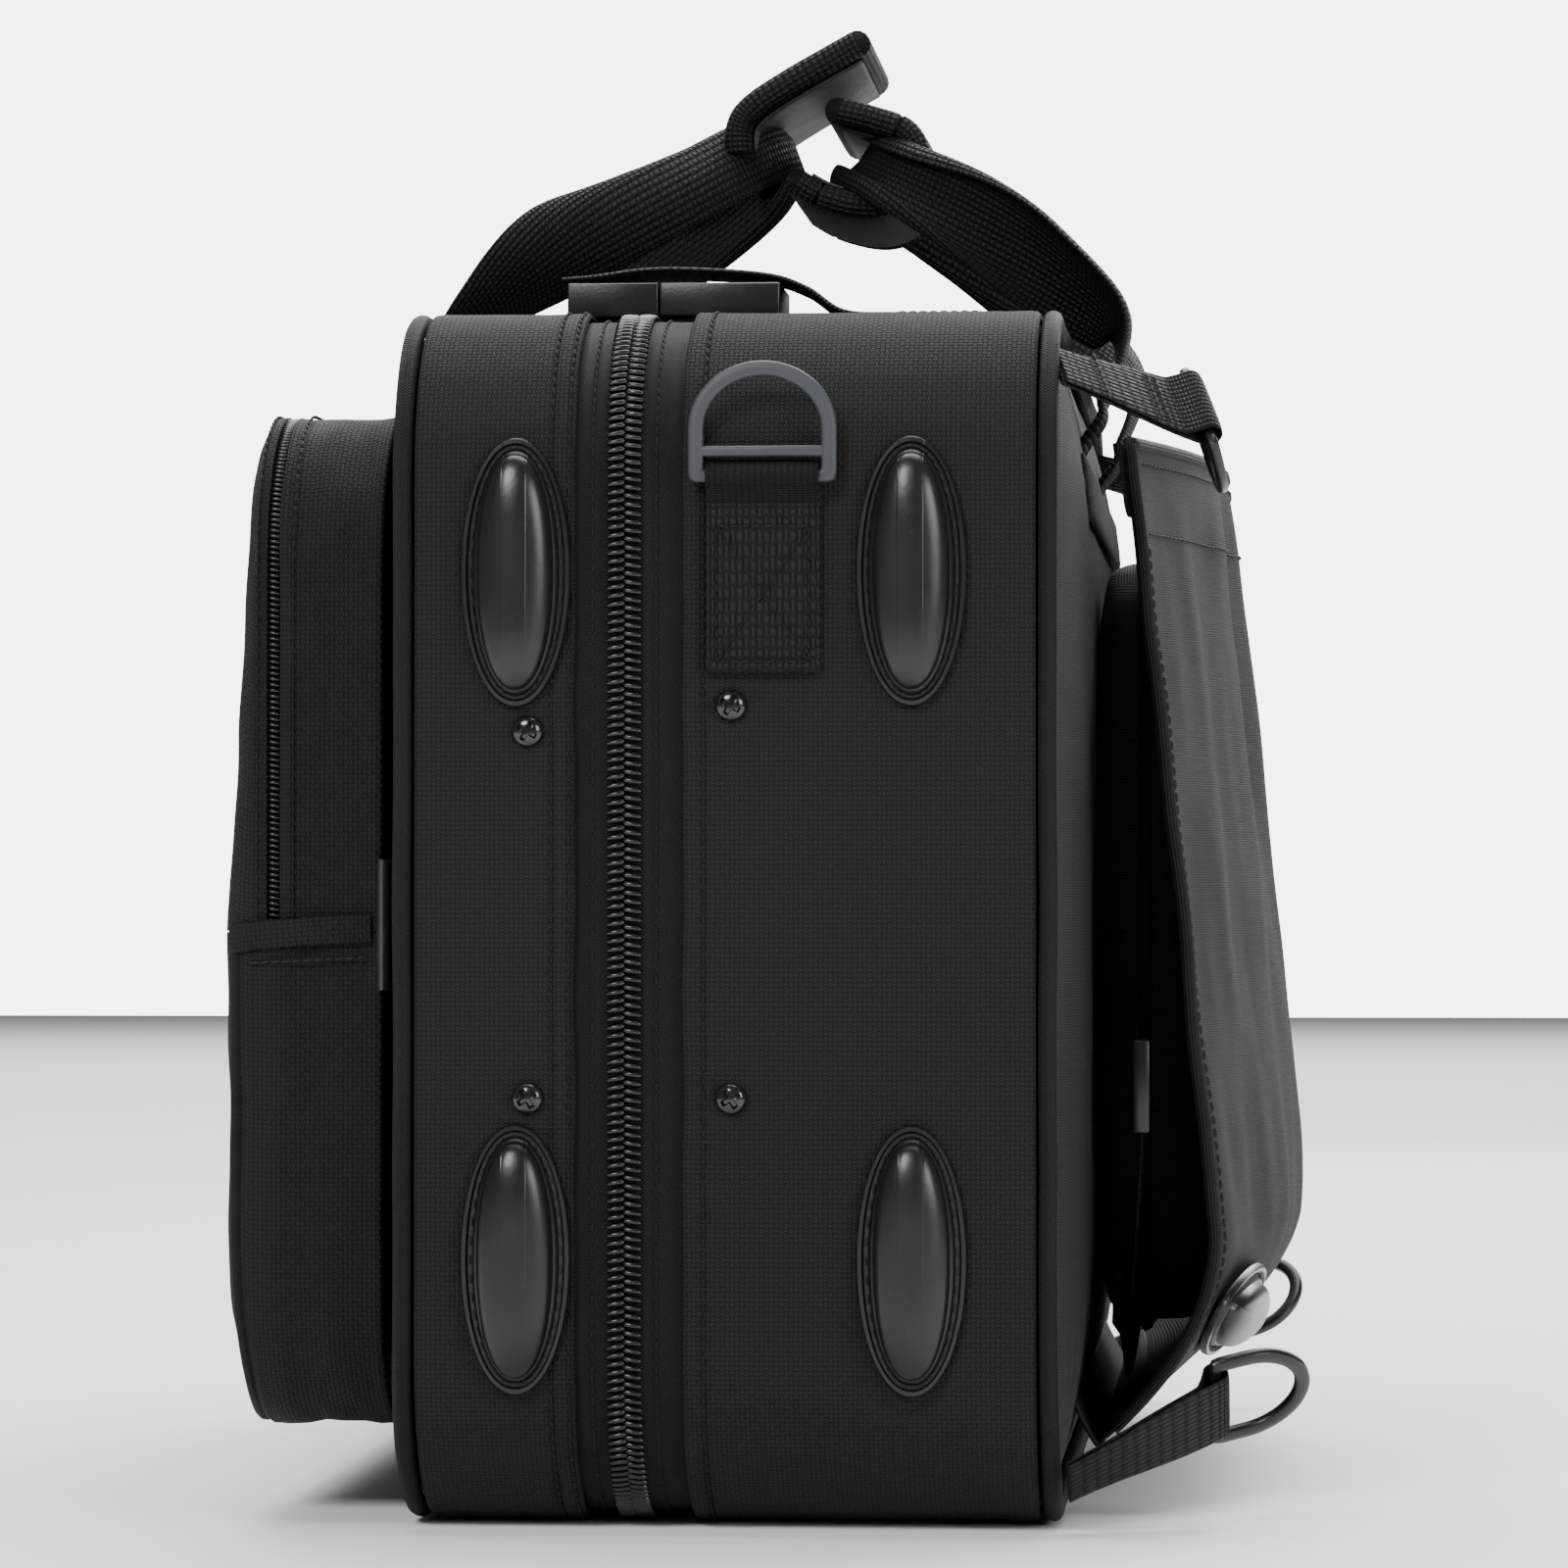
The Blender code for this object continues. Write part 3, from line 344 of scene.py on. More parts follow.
def make_finish(name):
    """Builds one named finish from the scene's colours."""
    c = colours()
    wall, back, trim, lining = tuple(c.wall), tuple(c.back), tuple(c.trim), tuple(c.lining)
    plastic, ring = tuple(c.plastic), tuple(c.ring)
    weave = bpy.context.scene.case_sizes.wall_weave
    makers = {
        "wall_cloth": lambda: woven_finish(
            name, wall, lambda u, v: basket(u, v, weave), 0.00042, (0.55, 0.85), 0.16
        ),
        "back_cloth": lambda: woven_finish(
            name, back, lambda u, v: plain(u, v, 0.0007, 0.0005), 0.00022, (0.60, 0.82), 0.08
        ),
        "padded_cloth": lambda: woven_finish(
            name, back, lambda u, v: plain(u, v, 0.0008, 0.0006), 0.00024, (0.60, 0.85), 0.08, mapped=False
        ),
        "webbing": lambda: woven_finish(
            name, trim, lambda u, v: basket(u, v, 0.0017, 1), 0.00085, (0.50, 0.80), 0.14, spread=0.18
        ),
        "binding": lambda: woven_finish(
            name, trim, lambda u, v: plain(u, v, 0.0009, 0.0008), 0.00030, (0.50, 0.78), 0.10
        ),
        "herringbone": lambda: woven_finish(
            name, trim, lambda u, v: chevron(u, v, 0.0009, 0.0042), 0.00036, (0.50, 0.80), 0.12
        ),
        "lining": lambda: woven_finish(
            name, lining, lambda u, v: plain(u, v, 0.0006, 0.0006), 0.00012, (0.40, 0.62), 0.04, mapped=False
        ),
        "coil_nylon": lambda: moulded_finish(
            name, (0.006, 0.006, 0.007), 1500.0, 0.00004, 0.24, 0.1, coat=0.2
        ),
        "bumper_plastic": lambda: moulded_finish(
            name, plastic, 900.0, 0.00003, 0.30, 0.4, lines=(0.0032,)
        ),
        "ring_plastic": lambda: moulded_finish(name, ring, 1600.0, 0.00007, 0.50, 0.35),
        "black_plastic": lambda: moulded_finish(name, plastic, 1300.0, 0.00005, 0.30, 0.4),
        "black_steel": lambda: moulded_finish(
            name, (0.012, 0.012, 0.013), 400.0, 0.00003, 0.16, 0.3, metallic=0.4, coat=0.6
        ),
        "slider_metal": lambda: moulded_finish(
            name, (0.022, 0.022, 0.023), 500.0, 0.00005, 0.28, 0.8, metallic=0.3, coat=0.5
        ),
        "hooks": lambda: pile_finish(name, (0.012, 0.012, 0.013), 1400.0),
        "soft_grip": lambda: leather_finish(name, (0.016, 0.0155, 0.0158), 0.58),
        "satin": lambda: satin_finish(name, (0.012, 0.0115, 0.0125)),
        "dark_thread": lambda: thread_finish(name, (0.016, 0.0155, 0.016)),
        "light_thread": lambda: thread_finish(name, (0.034, 0.033, 0.034)),
    }
    return makers[name]()


def finish(name):
    """The finish of this name, made the first time that it is asked for."""
    return bpy.data.materials.get(f"case_{name}") or make_finish(name)


# ---- Shapes ----


class Track:
    """A rounded rectangle that stands in XZ, walked by distance, upwards at its near end first."""

    def __init__(self, half_length, low, high, radius):
        self.radius = radius
        wide, tall = 2 * (half_length - radius), high - low - 2 * radius
        bend = radius * pi / 2
        self.legs = []
        half = half_length - radius
        runs = (
            ((half, low + radius), -90, tall),
            ((half, high - radius), 0, wide),
            ((-half, high - radius), 90, tall),
            ((-half, low + radius), 180, wide),
        )
        for centre, turn, straight in runs:
            self.legs.append((bend, centre, turn, None))
            self.legs.append((straight, centre, turn + 90, straight))
        self.length = sum(leg[0] for leg in self.legs)

    def at(self, distance, inset=0.0):
        """(x, z, outward x, outward z) at a distance from the foot of the near lower corner."""
        left = distance % self.length
        for size, (cx, cz), turn, straight in self.legs:
            if left <= size or (size, turn) == (self.legs[-1][0], self.legs[-1][2]):
                break
            left -= size
        angle = radians(turn if straight is not None else turn + 90 * left / size)
        nx, nz = cos(angle), sin(angle)
        x, z = cx + nx * self.radius, cz + nz * self.radius
        if straight is not None:
            x, z = x - nz * left, z + nx * left
        return x - inset * nx, z - inset * nz, nx, nz


CASE_TRACK = Track(HALF_LENGTH, CASE_LOW.z, CASE_TOP, CORNER_RADIUS)


def soft(x, y, z, scale, seed=0.0):
    """Smooth noise from -1 to 1 at a place."""
    return noise.noise(Vector((x * scale + seed, y * scale, z * scale)))


def mix(a, b, share):
    return a + (b - a) * share


def ease(share):
    share = max(0.0, min(1.0, share))
    return share * share * (3 - 2 * share)


def along(points, share):
    """The point at a share of the way through evenly spaced keys, on a smooth curve."""
    spans = len(points) - 1
    place = max(0.0, min(1.0, share)) * spans
    whole = min(int(place), spans - 1)
    t = place - whole
    b, c = points[whole], points[whole + 1]
    a = points[whole - 1] if whole else 2 * b - c
    d = points[whole + 2] if whole + 2 <= spans else 2 * c - b
    return b + ((c - a) * t + (2 * a - 5 * b + 4 * c - d) * t**2 + (3 * b - 3 * c + d - a) * t**3) / 2


def patch(columns, rows, shape, size=(1.0, 1.0), builder=None):
    """A grid whose points shape(u, v) places, for u and v from 0 to 1, with a cloth map in metres.

    The map is the grid's own, stretched to size, unless shape gives (place, map place).
    """
    made = bmesh.new()
    layer = made.loops.layers.uv.new(CLOTH)
    bmesh.ops.create_grid(made, x_segments=columns, y_segments=rows, size=0.5)
    made.verts.index_update()
    cloth = {}
    for vert in made.verts:
        u, v = vert.co.x + 0.5, vert.co.y + 0.5
        found = shape(u, v)
        if not isinstance(found, tuple):
            found = found, (u * size[0], v * size[1])
        vert.co, cloth[vert.index] = found
    for face in made.faces:
        for loop in face.loops:
            loop[layer].uv = cloth[loop.vert.index]
    bmesh.ops.remove_doubles(made, verts=made.verts, dist=2e-6)
    bmesh.ops.dissolve_degenerate(made, dist=1e-7, edges=made.edges)
    bmesh.ops.recalc_face_normals(made, faces=made.faces)
    return made if builder is None else join(builder, made)


def squared(value, power):
    """A sine or cosine drawn towards its two ends, which squares a circle off."""
    return (1 if value > 0 else -1) * abs(value) ** power


def capped(made, sides):
    """Fills a shape's open ends, of so many sides at most, and turns its faces outwards."""
    bmesh.ops.holes_fill(made, edges=made.edges, sides=sides)
    bmesh.ops.recalc_face_normals(made, faces=made.faces)
    return made


def join(builder, made):
    """Adds one bmesh to another and frees it."""
    mesh = bpy.data.meshes.new("joined")
    made.to_mesh(mesh)
    made.free()
    builder.from_mesh(mesh)
    bpy.data.meshes.remove(mesh)
    return builder


def mesh_of(builder, name="shape"):
    """The bmesh as a mesh. The bmesh is freed."""
    mesh = bpy.data.meshes.new(name)
    builder.to_mesh(mesh)
    builder.free()
    return mesh


def piece(name, mesh, look, body, slot, replaces=(), sharp=40, subdivide=0, thickness=0.0, offset=-1.0):
    """Turns a mesh or a bmesh into a finished piece that rides on a body; a piece given a pair of bodies is
    only fixed where it stands.
    """
    if isinstance(mesh, bmesh.types.BMesh):
        mesh = mesh_of(mesh, name)
    mesh.name = name
    mesh.shade_smooth()
    if sharp:
        mesh.set_sharp_from_angle(angle=radians(sharp))
    mesh.materials.clear()
    mesh.materials.append(finish(look))
    made = bpy.data.objects.new(name, mesh)
    bpy.context.scene.collection.objects.link(made)
    if thickness:
        wall = made.modifiers.new("thickness", "SOLIDIFY")
        wall.thickness, wall.offset = thickness, offset
    if subdivide:
        smooth = made.modifiers.new("smooth", "SUBSURF")
        smooth.levels = smooth.render_levels = subdivide
    if isinstance(body, str):
        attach(made, body)
    else:
        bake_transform(made)
    if replaces:
        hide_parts(*replaces)
    return made


def frame_on(origin, forward, across):
    """A matrix with local X on forward and local Y as near across as it can be."""
    x_axis = forward.normalized()
    y_axis = (across - across.dot(x_axis) * x_axis).normalized()
    turned = Matrix((x_axis, y_axis, x_axis.cross(y_axis))).transposed().to_4x4()
    return Matrix.Translation(origin) @ turned


def repeated(shape, places):
    """One mesh with a copy of the shape at each place."""
    whole = bpy.data.meshes.new("copies")
    verts, faces = [], []
    corners = [vert.co.copy() for vert in shape.vertices]
    loops = [tuple(face.vertices) for face in shape.polygons]
    for place in places:
        base = len(verts)
        verts += [place @ corner for corner in corners]
        faces += [tuple(base + index for index in loop) for loop in loops]
    whole.from_pydata(verts, [], faces)
    bpy.data.meshes.remove(shape)
    return whole


def stitch_shape(length=0.0026, width=0.0007, height=0.0006):
    """One stitch on local X: a short thread that dives into the cloth at both ends."""
    builder = bmesh.new()
    bmesh.ops.create_uvsphere(builder, u_segments=6, v_segments=5, radius=0.5)
    bmesh.ops.rotate(builder, verts=builder.verts, matrix=Matrix.Rotation(pi / 2, 3, "Y"))
    bmesh.ops.scale(builder, verts=builder.verts, vec=(length, width, height * 2))
    return mesh_of(builder)


def stitches(name, runs, body, slot, look="dark_thread", pitch=0.0034, **shape):
    """Rows of stitches: each run gives place and outward direction at a share, and its length."""
    places = []
    for at, length in runs:
        count = max(1, round(length / pitch))
        for i in range(count):
            here, out = at((i + 0.5) / count)
            ahead, _ = at(min(1.0, (i + 0.9) / count))
            behind, _ = at((i + 0.1) / count)
            run = ahead - behind
            if run.length < 1e-6:
                continue
            slant = Matrix.Rotation(radians(5) + 0.06 * soft(i * 0.7, 0, 0, 3), 4, "Z")
            places.append(frame_on(here, run, out.cross(run)) @ slant)
    return piece(name, repeated(stitch_shape(**shape), places), look, body, slot, sharp=0)


def ribbon(centre, side, width, thickness, columns, rows=20, turns=(0.0, 1.0), cup=None, builder=None):
    """A strap with rounded edges along centre(s).

    side(s) is the direction of its width, and cup(s) is how far it folds lengthwise, in radians each way.
    """
    steps = 60
    length = sum((centre(i / steps) - centre((i + 1) / steps)).length for i in range(steps))

    def shape(u, v):
        s = mix(*turns, u)
        ahead = centre(min(1, s + 0.004)) - centre(max(0, s - 0.004))
        across = side(s)
        across = (across - across.dot(ahead) / ahead.length_squared * ahead).normalized()
        lift = ahead.normalized().cross(across)
        angle = 2 * pi * v
        sideways, upwards = cos(angle), sin(angle)
        sideways, upwards = squared(sideways, 0.45), squared(upwards, 0.7)
        half = width(s) / 2
        curl = cup(s) if cup else 0.0
        if curl > 1e-3:
            radius, turn, folded = half / curl, sideways * curl, ease(curl / 2.6)
            flat_out = across * radius * sin(turn) * (1 + 0.35 * folded)
            flat_out += lift * radius * (cos(turn) - 1) * (1 - 0.6 * folded)
            out = across * sin(turn) + lift * cos(turn)
        else:
            flat_out, out = across * half * sideways, lift
        place = centre(s) + flat_out + out * upwards * thickness / 2
        return place, (s * length, (sideways if upwards > 0 else 2 - sideways) * half)

    made = capped(patch(columns, rows, shape), rows + 2)
    return made if builder is None else join(builder, made)


def merged_copy(node):
    """A copy of a CAD node's mesh with its triangles joined again into flat faces."""
    builder = bmesh.new()
    builder.from_mesh(frame["nodes"][node].data)
    bmesh.ops.remove_doubles(builder, verts=builder.verts, dist=1e-5)
    bmesh.ops.dissolve_limit(
        builder,
        angle_limit=radians(1.0),
        use_dissolve_boundaries=False,
        verts=builder.verts,
        edges=builder.edges,
    )
    bmesh.ops.recalc_face_normals(builder, faces=builder.faces)
    return builder


def rounded(builder, width, segments=2):
    """Bevels every edge that turns by more than 30 degrees."""
    edges = [edge for edge in builder.edges if edge.is_manifold and edge.calc_face_angle(0) > radians(30)]
    bmesh.ops.bevel(
        builder,
        geom=edges,
        offset=width,
        offset_type="OFFSET",
        affect="EDGES",
        segments=segments,
        profile=0.5,
        material=-1,
        clamp_overlap=True,
    )
    return builder


def block(builder, low, high, width=0.0004, segments=2, place=None):
    """A box between two corners with rounded edges."""
    made = bmesh.new()
    bmesh.ops.create_cube(made, size=1.0)
    low, high = Vector(low), Vector(high)
    bmesh.ops.scale(made, verts=made.verts, vec=high - low)
    bmesh.ops.translate(made, verts=made.verts, vec=(low + high) / 2)
    rounded(made, width, segments)
    if place:
        bmesh.ops.transform(made, matrix=place, verts=made.verts)
    return join(builder, made)


def strand(centre, radius, columns, rows=10, closed=False, builder=None):
    """A round cord along centre(s), capped unless it is closed on itself."""
    steps = 80
    length = sum((centre(i / steps) - centre((i + 1) / steps)).length for i in range(steps))

    def shape(s, v):
        ahead = centre((s + 0.003) % 1.0 if closed else min(1, s + 0.003))
        ahead = ahead - centre((s - 0.003) % 1.0 if closed else max(0, s - 0.003))
        up = Vector((0.02, 0.97, 0.2)) if abs(ahead.normalized().y) < 0.9 else Vector((1, 0, 0.1))
        across = ahead.cross(up).normalized()
        lift = across.cross(ahead).normalized()
        return centre(s) + (across * cos(2 * pi * v) + lift * sin(2 * pi * v)) * radius

    made = capped(patch(columns, rows, shape, (length, 2 * pi * radius)), rows + 2)
    return made if builder is None else join(builder, made)


SWELLING_PRESSURE, SWELLING_FRAMES = 4.0, 20


def inflated(builder, voxel, cap):
    """A closed shape remeshed and swollen by air pressure, with each point's move capped."""
    scene = bpy.context.scene
    made = bpy.data.objects.new("inflating", mesh_of(builder))
    scene.collection.objects.link(made)
    remesh = made.modifiers.new("remesh", "REMESH")
    remesh.mode, remesh.voxel_size = "VOXEL", voxel
    view = bpy.context.evaluated_depsgraph_get()
    mesh = bpy.data.meshes.new_from_object(made.evaluated_get(view))
    made.modifiers.clear()
    made.data = mesh
    cloth = made.modifiers.new("cloth", "CLOTH")
    cloth.settings.use_pressure = True
    cloth.settings.uniform_pressure_force = SWELLING_PRESSURE
    cloth.settings.effector_weights.gravity = 0
    cloth.point_cache.frame_start, cloth.point_cache.frame_end = 1, SWELLING_FRAMES
    for step in range(1, SWELLING_FRAMES + 1):
        scene.frame_set(step)
    swollen = made.evaluated_get(bpy.context.evaluated_depsgraph_get()).to_mesh()
    moved = [vert.co.copy() for vert in swollen.vertices]
    for vert, place in zip(mesh.vertices, moved):
        shift = place - vert.co
        if shift.length > cap:
            shift = shift.normalized() * cap
        vert.co += shift
    made.modifiers.clear()
    scene.frame_set(1)
    bpy.data.objects.remove(made)
    return mesh


# ---- What a user can set ----


def length_setting(name, description, default, low, high):
    return bpy.props.FloatProperty(
        name=name, description=description, default=default, min=low, max=high, unit="LENGTH", precision=5
    )


def colour_setting(name, description, default):
    return bpy.props.FloatVectorProperty(
        name=name, description=description, default=default, size=3, min=0.0, max=1.0, subtype="COLOR"
    )


class CaseSizes(bpy.types.PropertyGroup):
    """The small sizes of the case's cloth, seams and zips."""

    wall_weave: length_setting(
        "Wall weave", "Size of one patch of the walls' basket weave", 0.00125, 0.0006, 0.004
    )
    stitch_pitch: length_setting(
        "Stitch pitch", "Distance from stitch to stitch along a seam", 0.0034, 0.002, 0.008
    )
    tooth_pitch: length_setting(
        "Tooth pitch", "Distance from tooth to tooth of the main zip", 0.0022, 0.0015, 0.005
    )
    pocket_pitch: length_setting(
        "Pocket tooth pitch", "Distance from tooth to tooth of the pocket's zip", 0.0015, 0.001, 0.004
    )
    wall_wave: length_setting(
        "Wall wave", "How far the wall cloth ripples on its board", 0.00045, 0.0, 0.002
    )
    flap_wave: length_setting("Flap wave", "How deep the flap's soft folds are", 0.0042, 0.0, 0.008)


class CaseColours(bpy.types.PropertyGroup):
    """The colours of the case's finishes."""

    wall: colour_setting("Wall cloth", "The ballistic cloth of the walls", (0.0165, 0.0153, 0.0158))
    back: colour_setting(
        "Back cloth", "The lighter pack cloth of the back, flap and pads", (0.0250, 0.0244, 0.0252)
    )
    trim: colour_setting("Trim", "Webbing, piping, tape and binding", (0.0105, 0.0102, 0.0106))
    lining: colour_setting("Lining", "The lining inside both halves", (0.080, 0.082, 0.086))
    plastic: colour_setting("Plastic", "Bumpers and buckles", (0.0060, 0.0060, 0.0063))
    ring: colour_setting("Ring", "The moulded rings on the two ends", (0.034, 0.038, 0.043))


class PieceMaker:
    """What every operator here shares: it builds its pieces once and finishes."""

    bl_options = {"REGISTER"}

    def execute(self, context):
        self.build(context.scene.case_sizes)
        return {"FINISHED"}


class CASE_OT_stage(PieceMaker, bpy.types.Operator):
    """Lays the pale floor and sets the lights and the camera"""

    bl_idname = "case.stage"
    bl_label = "Stage"

    def build(self, sizes):
        scene = bpy.context.scene
        builder = bmesh.new()
        bmesh.ops.create_grid(builder, x_segments=1, y_segments=1, size=6.0)
        bmesh.ops.translate(builder, verts=builder.verts, vec=(0, 0, -0.0006))
        floor = bpy.data.objects.new("floor", mesh_of(builder, "floor"))
        pale = Finish("pale_floor")
        where, _ = pale.place(mapped=False)
        cloudy = pale.noise(where, 1.5, 2.0)
        colour = pale.mix(cloudy, (0.90, 0.90, 0.90, 1), (0.93, 0.93, 0.93, 1))
        floor.data.materials.append(pale.shade(Base_Color=colour, Roughness=0.8))
        scene.collection.objects.link(floor)
        world = bpy.data.worlds.new("studio")
        world.use_nodes = True
        background = world.node_tree.nodes["Background"]
        seen = world.node_tree.nodes.new("ShaderNodeLightPath").outputs["Is Camera Ray"]
        strength = world.node_tree.nodes.new("ShaderNodeMapRange")
        strength.inputs["To Min"].default_value, strength.inputs["To Max"].default_value = 0.22, 6.0
        world.node_tree.links.new(seen, strength.inputs["Value"])
        world.node_tree.links.new(strength.outputs[0], background.inputs["Strength"])
        background.inputs["Color"].default_value = (0.97, 0.98, 1.0, 1.0)
        scene.world = world
        lamps = (
            ("key", (1.9, -0.7, 1.5), 0.8, 44.0),
            ("fill", (1.5, 1.6, 0.8), 0.8, 22.0),
            ("top", (-0.3, 0.1, 2.0), 1.6, 52.0),
            ("rim", (-1.8, 0.9, 1.2), 1.2, 24.0),
            ("back", (-3.6, 0.0, 3.0), 4.0, 260.0),
        )
        for name, spot, size, power in lamps:
            light = bpy.data.lights.new(name, "AREA")
            light.shape, light.size, light.energy = "SQUARE", size, power
            lamp = bpy.data.objects.new(name, light)
            lamp.location = spot
            lamp.rotation_euler = (Vector((0, 0.03, 0.18)) - Vector(spot)).to_track_quat("-Z", "Y").to_euler()
            scene.collection.objects.link(lamp)
        camera = bpy.data.objects.new("camera", bpy.data.cameras.new("camera"))
        camera.data.lens = 145.0
        camera.location = (1.825, 0.164, 0.166)
        aim = Vector((0.225, 0.041, 0.191)) - camera.location
        camera.rotation_euler = aim.to_track_quat("-Z", "Y").to_euler()
        scene.collection.objects.link(camera)
        scene.camera = camera


# ---- Walls ----

FOLD = {"front": -0.0125, "rear": 0.0150}
WALL_SEAMS = {"front": (0.0015, 0.0060), "rear": (0.0054,)}
WALL_INSIDE = 0.0022


def wall_keys(half, way):
    """(y, inset) round a wall's section, from the fold by the zip to the piping and back inside."""
    fold, edge = FOLD[half], way * (DEPTH[half] - PIPING_RADIUS - GAP)
    span = abs(edge - fold)
    keys = [(0.0005, 0.0018), (0.0, 0.0011), (0.0003, 0.0004), (0.0009, 0.0)]
    for seam in WALL_SEAMS[half]:
        keys = [key for key in keys if key[0] < seam - 0.0008]
        keys += [(seam - 0.0007, 0.0), (seam - 0.0002, 0.00035)]
        keys += [(seam + 0.0002, 0.00035), (seam + 0.0008, 0.0)]
    start = WALL_SEAMS[half][-1] + 0.002
    count = ceil((span - 0.003 - start) / 0.004)
    keys += [(mix(start, span - 0.003, i / count), 0.0) for i in range(count + 1)]
    keys += [(span - 0.0010, 0.0002), (span - 0.0002, 0.0009), (span, WALL_INSIDE), (span * 0.5, WALL_INSIDE)]
    return [(fold + way * run, inset) for run, inset in keys + keys[:1]]


class CASE_OT_walls(PieceMaker, bpy.types.Operator):
    """Folds the two woven walls round the case and sews their hems along the zip"""

    bl_idname = "case.walls"
    bl_label = "Walls"

    def build(self, sizes):
        track = CASE_TRACK
        for half, way, body in HALVES:
            keys = wall_keys(half, way)
            rows = len(keys) - 1
            runs = [0.0]
            for one, two in zip(keys, keys[1:]):
                runs.append(runs[-1] + hypot(two[0] - one[0], two[1] - one[1]))

            def shape(u, v):
                row = round(v * rows)
                y, inset = keys[row]
                near = min(1.0, abs(y - FOLD[half]) / 0.012) * min(1.0, abs(abs(y) - DEPTH[half]) / 0.012)
                x, z, nx, nz = track.at(u * track.length)
                ripple = 0.5 + 0.5 * soft(x, y * 1.6, z, 26.0, 4.0)
                ripple = ripple * near + 0.25 * abs(soft(x, y, z, 120.0, 9.0)) * (1 - near)
                if inset < WALL_INSIDE:
                    inset += sizes.wall_wave * ripple
                shift = 0.0004 * soft(x, 0, z, 40.0, 2.0) * (1 - near) if abs(y - FOLD[half]) < 0.012 else 0.0
                place = Vector((x - inset * nx, y + shift, z - inset * nz))
                return place, (u * track.length, runs[row] * way)

            made = patch(440, rows, shape)
            piece(f"{half}_wall", made, "wall_cloth", body, "ballistic_fabric", (f"{half}_gusset",), sharp=60)
            rows_of_stitches = []
            for seam in WALL_SEAMS[half]:
                y = FOLD[half] + way * seam

                def at(share, y=y):
                    x, z, nx, nz = track.at(share * track.length, 0.00015)
                    return Vector((x, y, z)), Vector((nx, 0, nz))

                rows_of_stitches.append((at, track.length))
            stitches(
                f"{half}_wall_stitches", rows_of_stitches, body, "ballistic_fabric", pitch=sizes.stitch_pitch
            )


class CASE_OT_panels(PieceMaker, bpy.types.Operator):
    """Puffs the large panels of the two halves and rolls the piping round them"""

    bl_idname = "case.panels"
    bl_label = "Panels and piping"

    def build(self, sizes):
        for half, way, body in HALVES:
            edge = way * (DEPTH[half] - PIPING_RADIUS - GAP)

            def shape(u, v):
                inset = mix(0.0056, 0.140, v**1.3)
                ring = Track(HALF_LENGTH - inset, inset, CASE_TOP - inset, max(CORNER_RADIUS - inset, 0.006))
                x, z, _, _ = ring.at(u * ring.length)
                up = mix(-0.0006, 0.0118, 1 - (1 - min(inset / 0.075, 1)) ** 2.4)
                up += 0.0007 * soft(x, 0, z, 30.0, 5.0) * min(inset / 0.02, 1)
                return Vector((x, edge + way * up, z)), (x, z)

            made = capped(patch(220, 16, shape), 300)
            look = "back_cloth" if half == "rear" else "wall_cloth"
            slot = "packcloth" if half == "rear" else "ballistic_fabric"
            piece(f"{half}_face", made, look, body, slot, (f"{half}_panel",))

            def cord(share):
                x, z, _, _ = CASE_TRACK.at(share * CASE_TRACK.length, PIPING_RADIUS)
                sway = 0.0005 * soft(x, 0, z, 22.0, 7.0)
                return Vector((x, way * (DEPTH[half] + sway), z))

            made = strand(cord, PIPING_RADIUS - 0.0001, 420, 12, closed=True)
            piece(f"{half}_cord", made, "herringbone", body, "piping", (f"{half}_piping",))


# ---- Zips ----

ZIP_START, ZIP_STOP = -0.030, CASE_TRACK.length - 2 * (HALF_LENGTH - CORNER_RADIUS) + 0.030
TAPE_KEYS = (
    (0.0006, 0.0022), (0.0050, 0.0024), (0.0110, 0.0025), (0.0180, 0.0026),
    (0.0188, 0.0030), (0.0180, 0.0035), (0.0100, 0.0034), (0.0007, 0.0032),
)
HINGE_REACH = 0.1495


def tooth_shape(reach, along_half, tall):
    """One turn of a coil on local Y: a rounded bar with a fatter head at its inner end."""
    builder = bmesh.new()
    bmesh.ops.create_uvsphere(builder, u_segments=8, v_segments=6, radius=1.0)
    bmesh.ops.rotate(builder, verts=builder.verts, matrix=Matrix.Rotation(pi / 2, 3, "X"))
    for vert in builder.verts:
        vert.co.y = squared(vert.co.y, 0.6)
        vert.co.x *= 1.18 if vert.co.y < -0.5 else 0.92
    bmesh.ops.scale(builder, verts=builder.verts, vec=(along_half, reach / 2, tall))
    return mesh_of(builder)


def coil(track, start, stop, pitch, way, reach, y, inset, tall, shift):
    """One half of a zip's coil: a tooth at each pitch along the track."""
    places = []
    count = int((stop - start) / pitch)
    for i in range(count):
        x, z, nx, nz = track.at(start + (i + shift) * pitch, inset)
        place = frame_on(Vector((x, y + way * reach / 2, z)), Vector((-nz, 0, nx)), Vector((0, way, 0)))
        places.append(place @ Matrix.Rotation(0.16, 4, "Z"))
    return repeated(tooth_shape(reach, pitch * 0.36, tall), places)


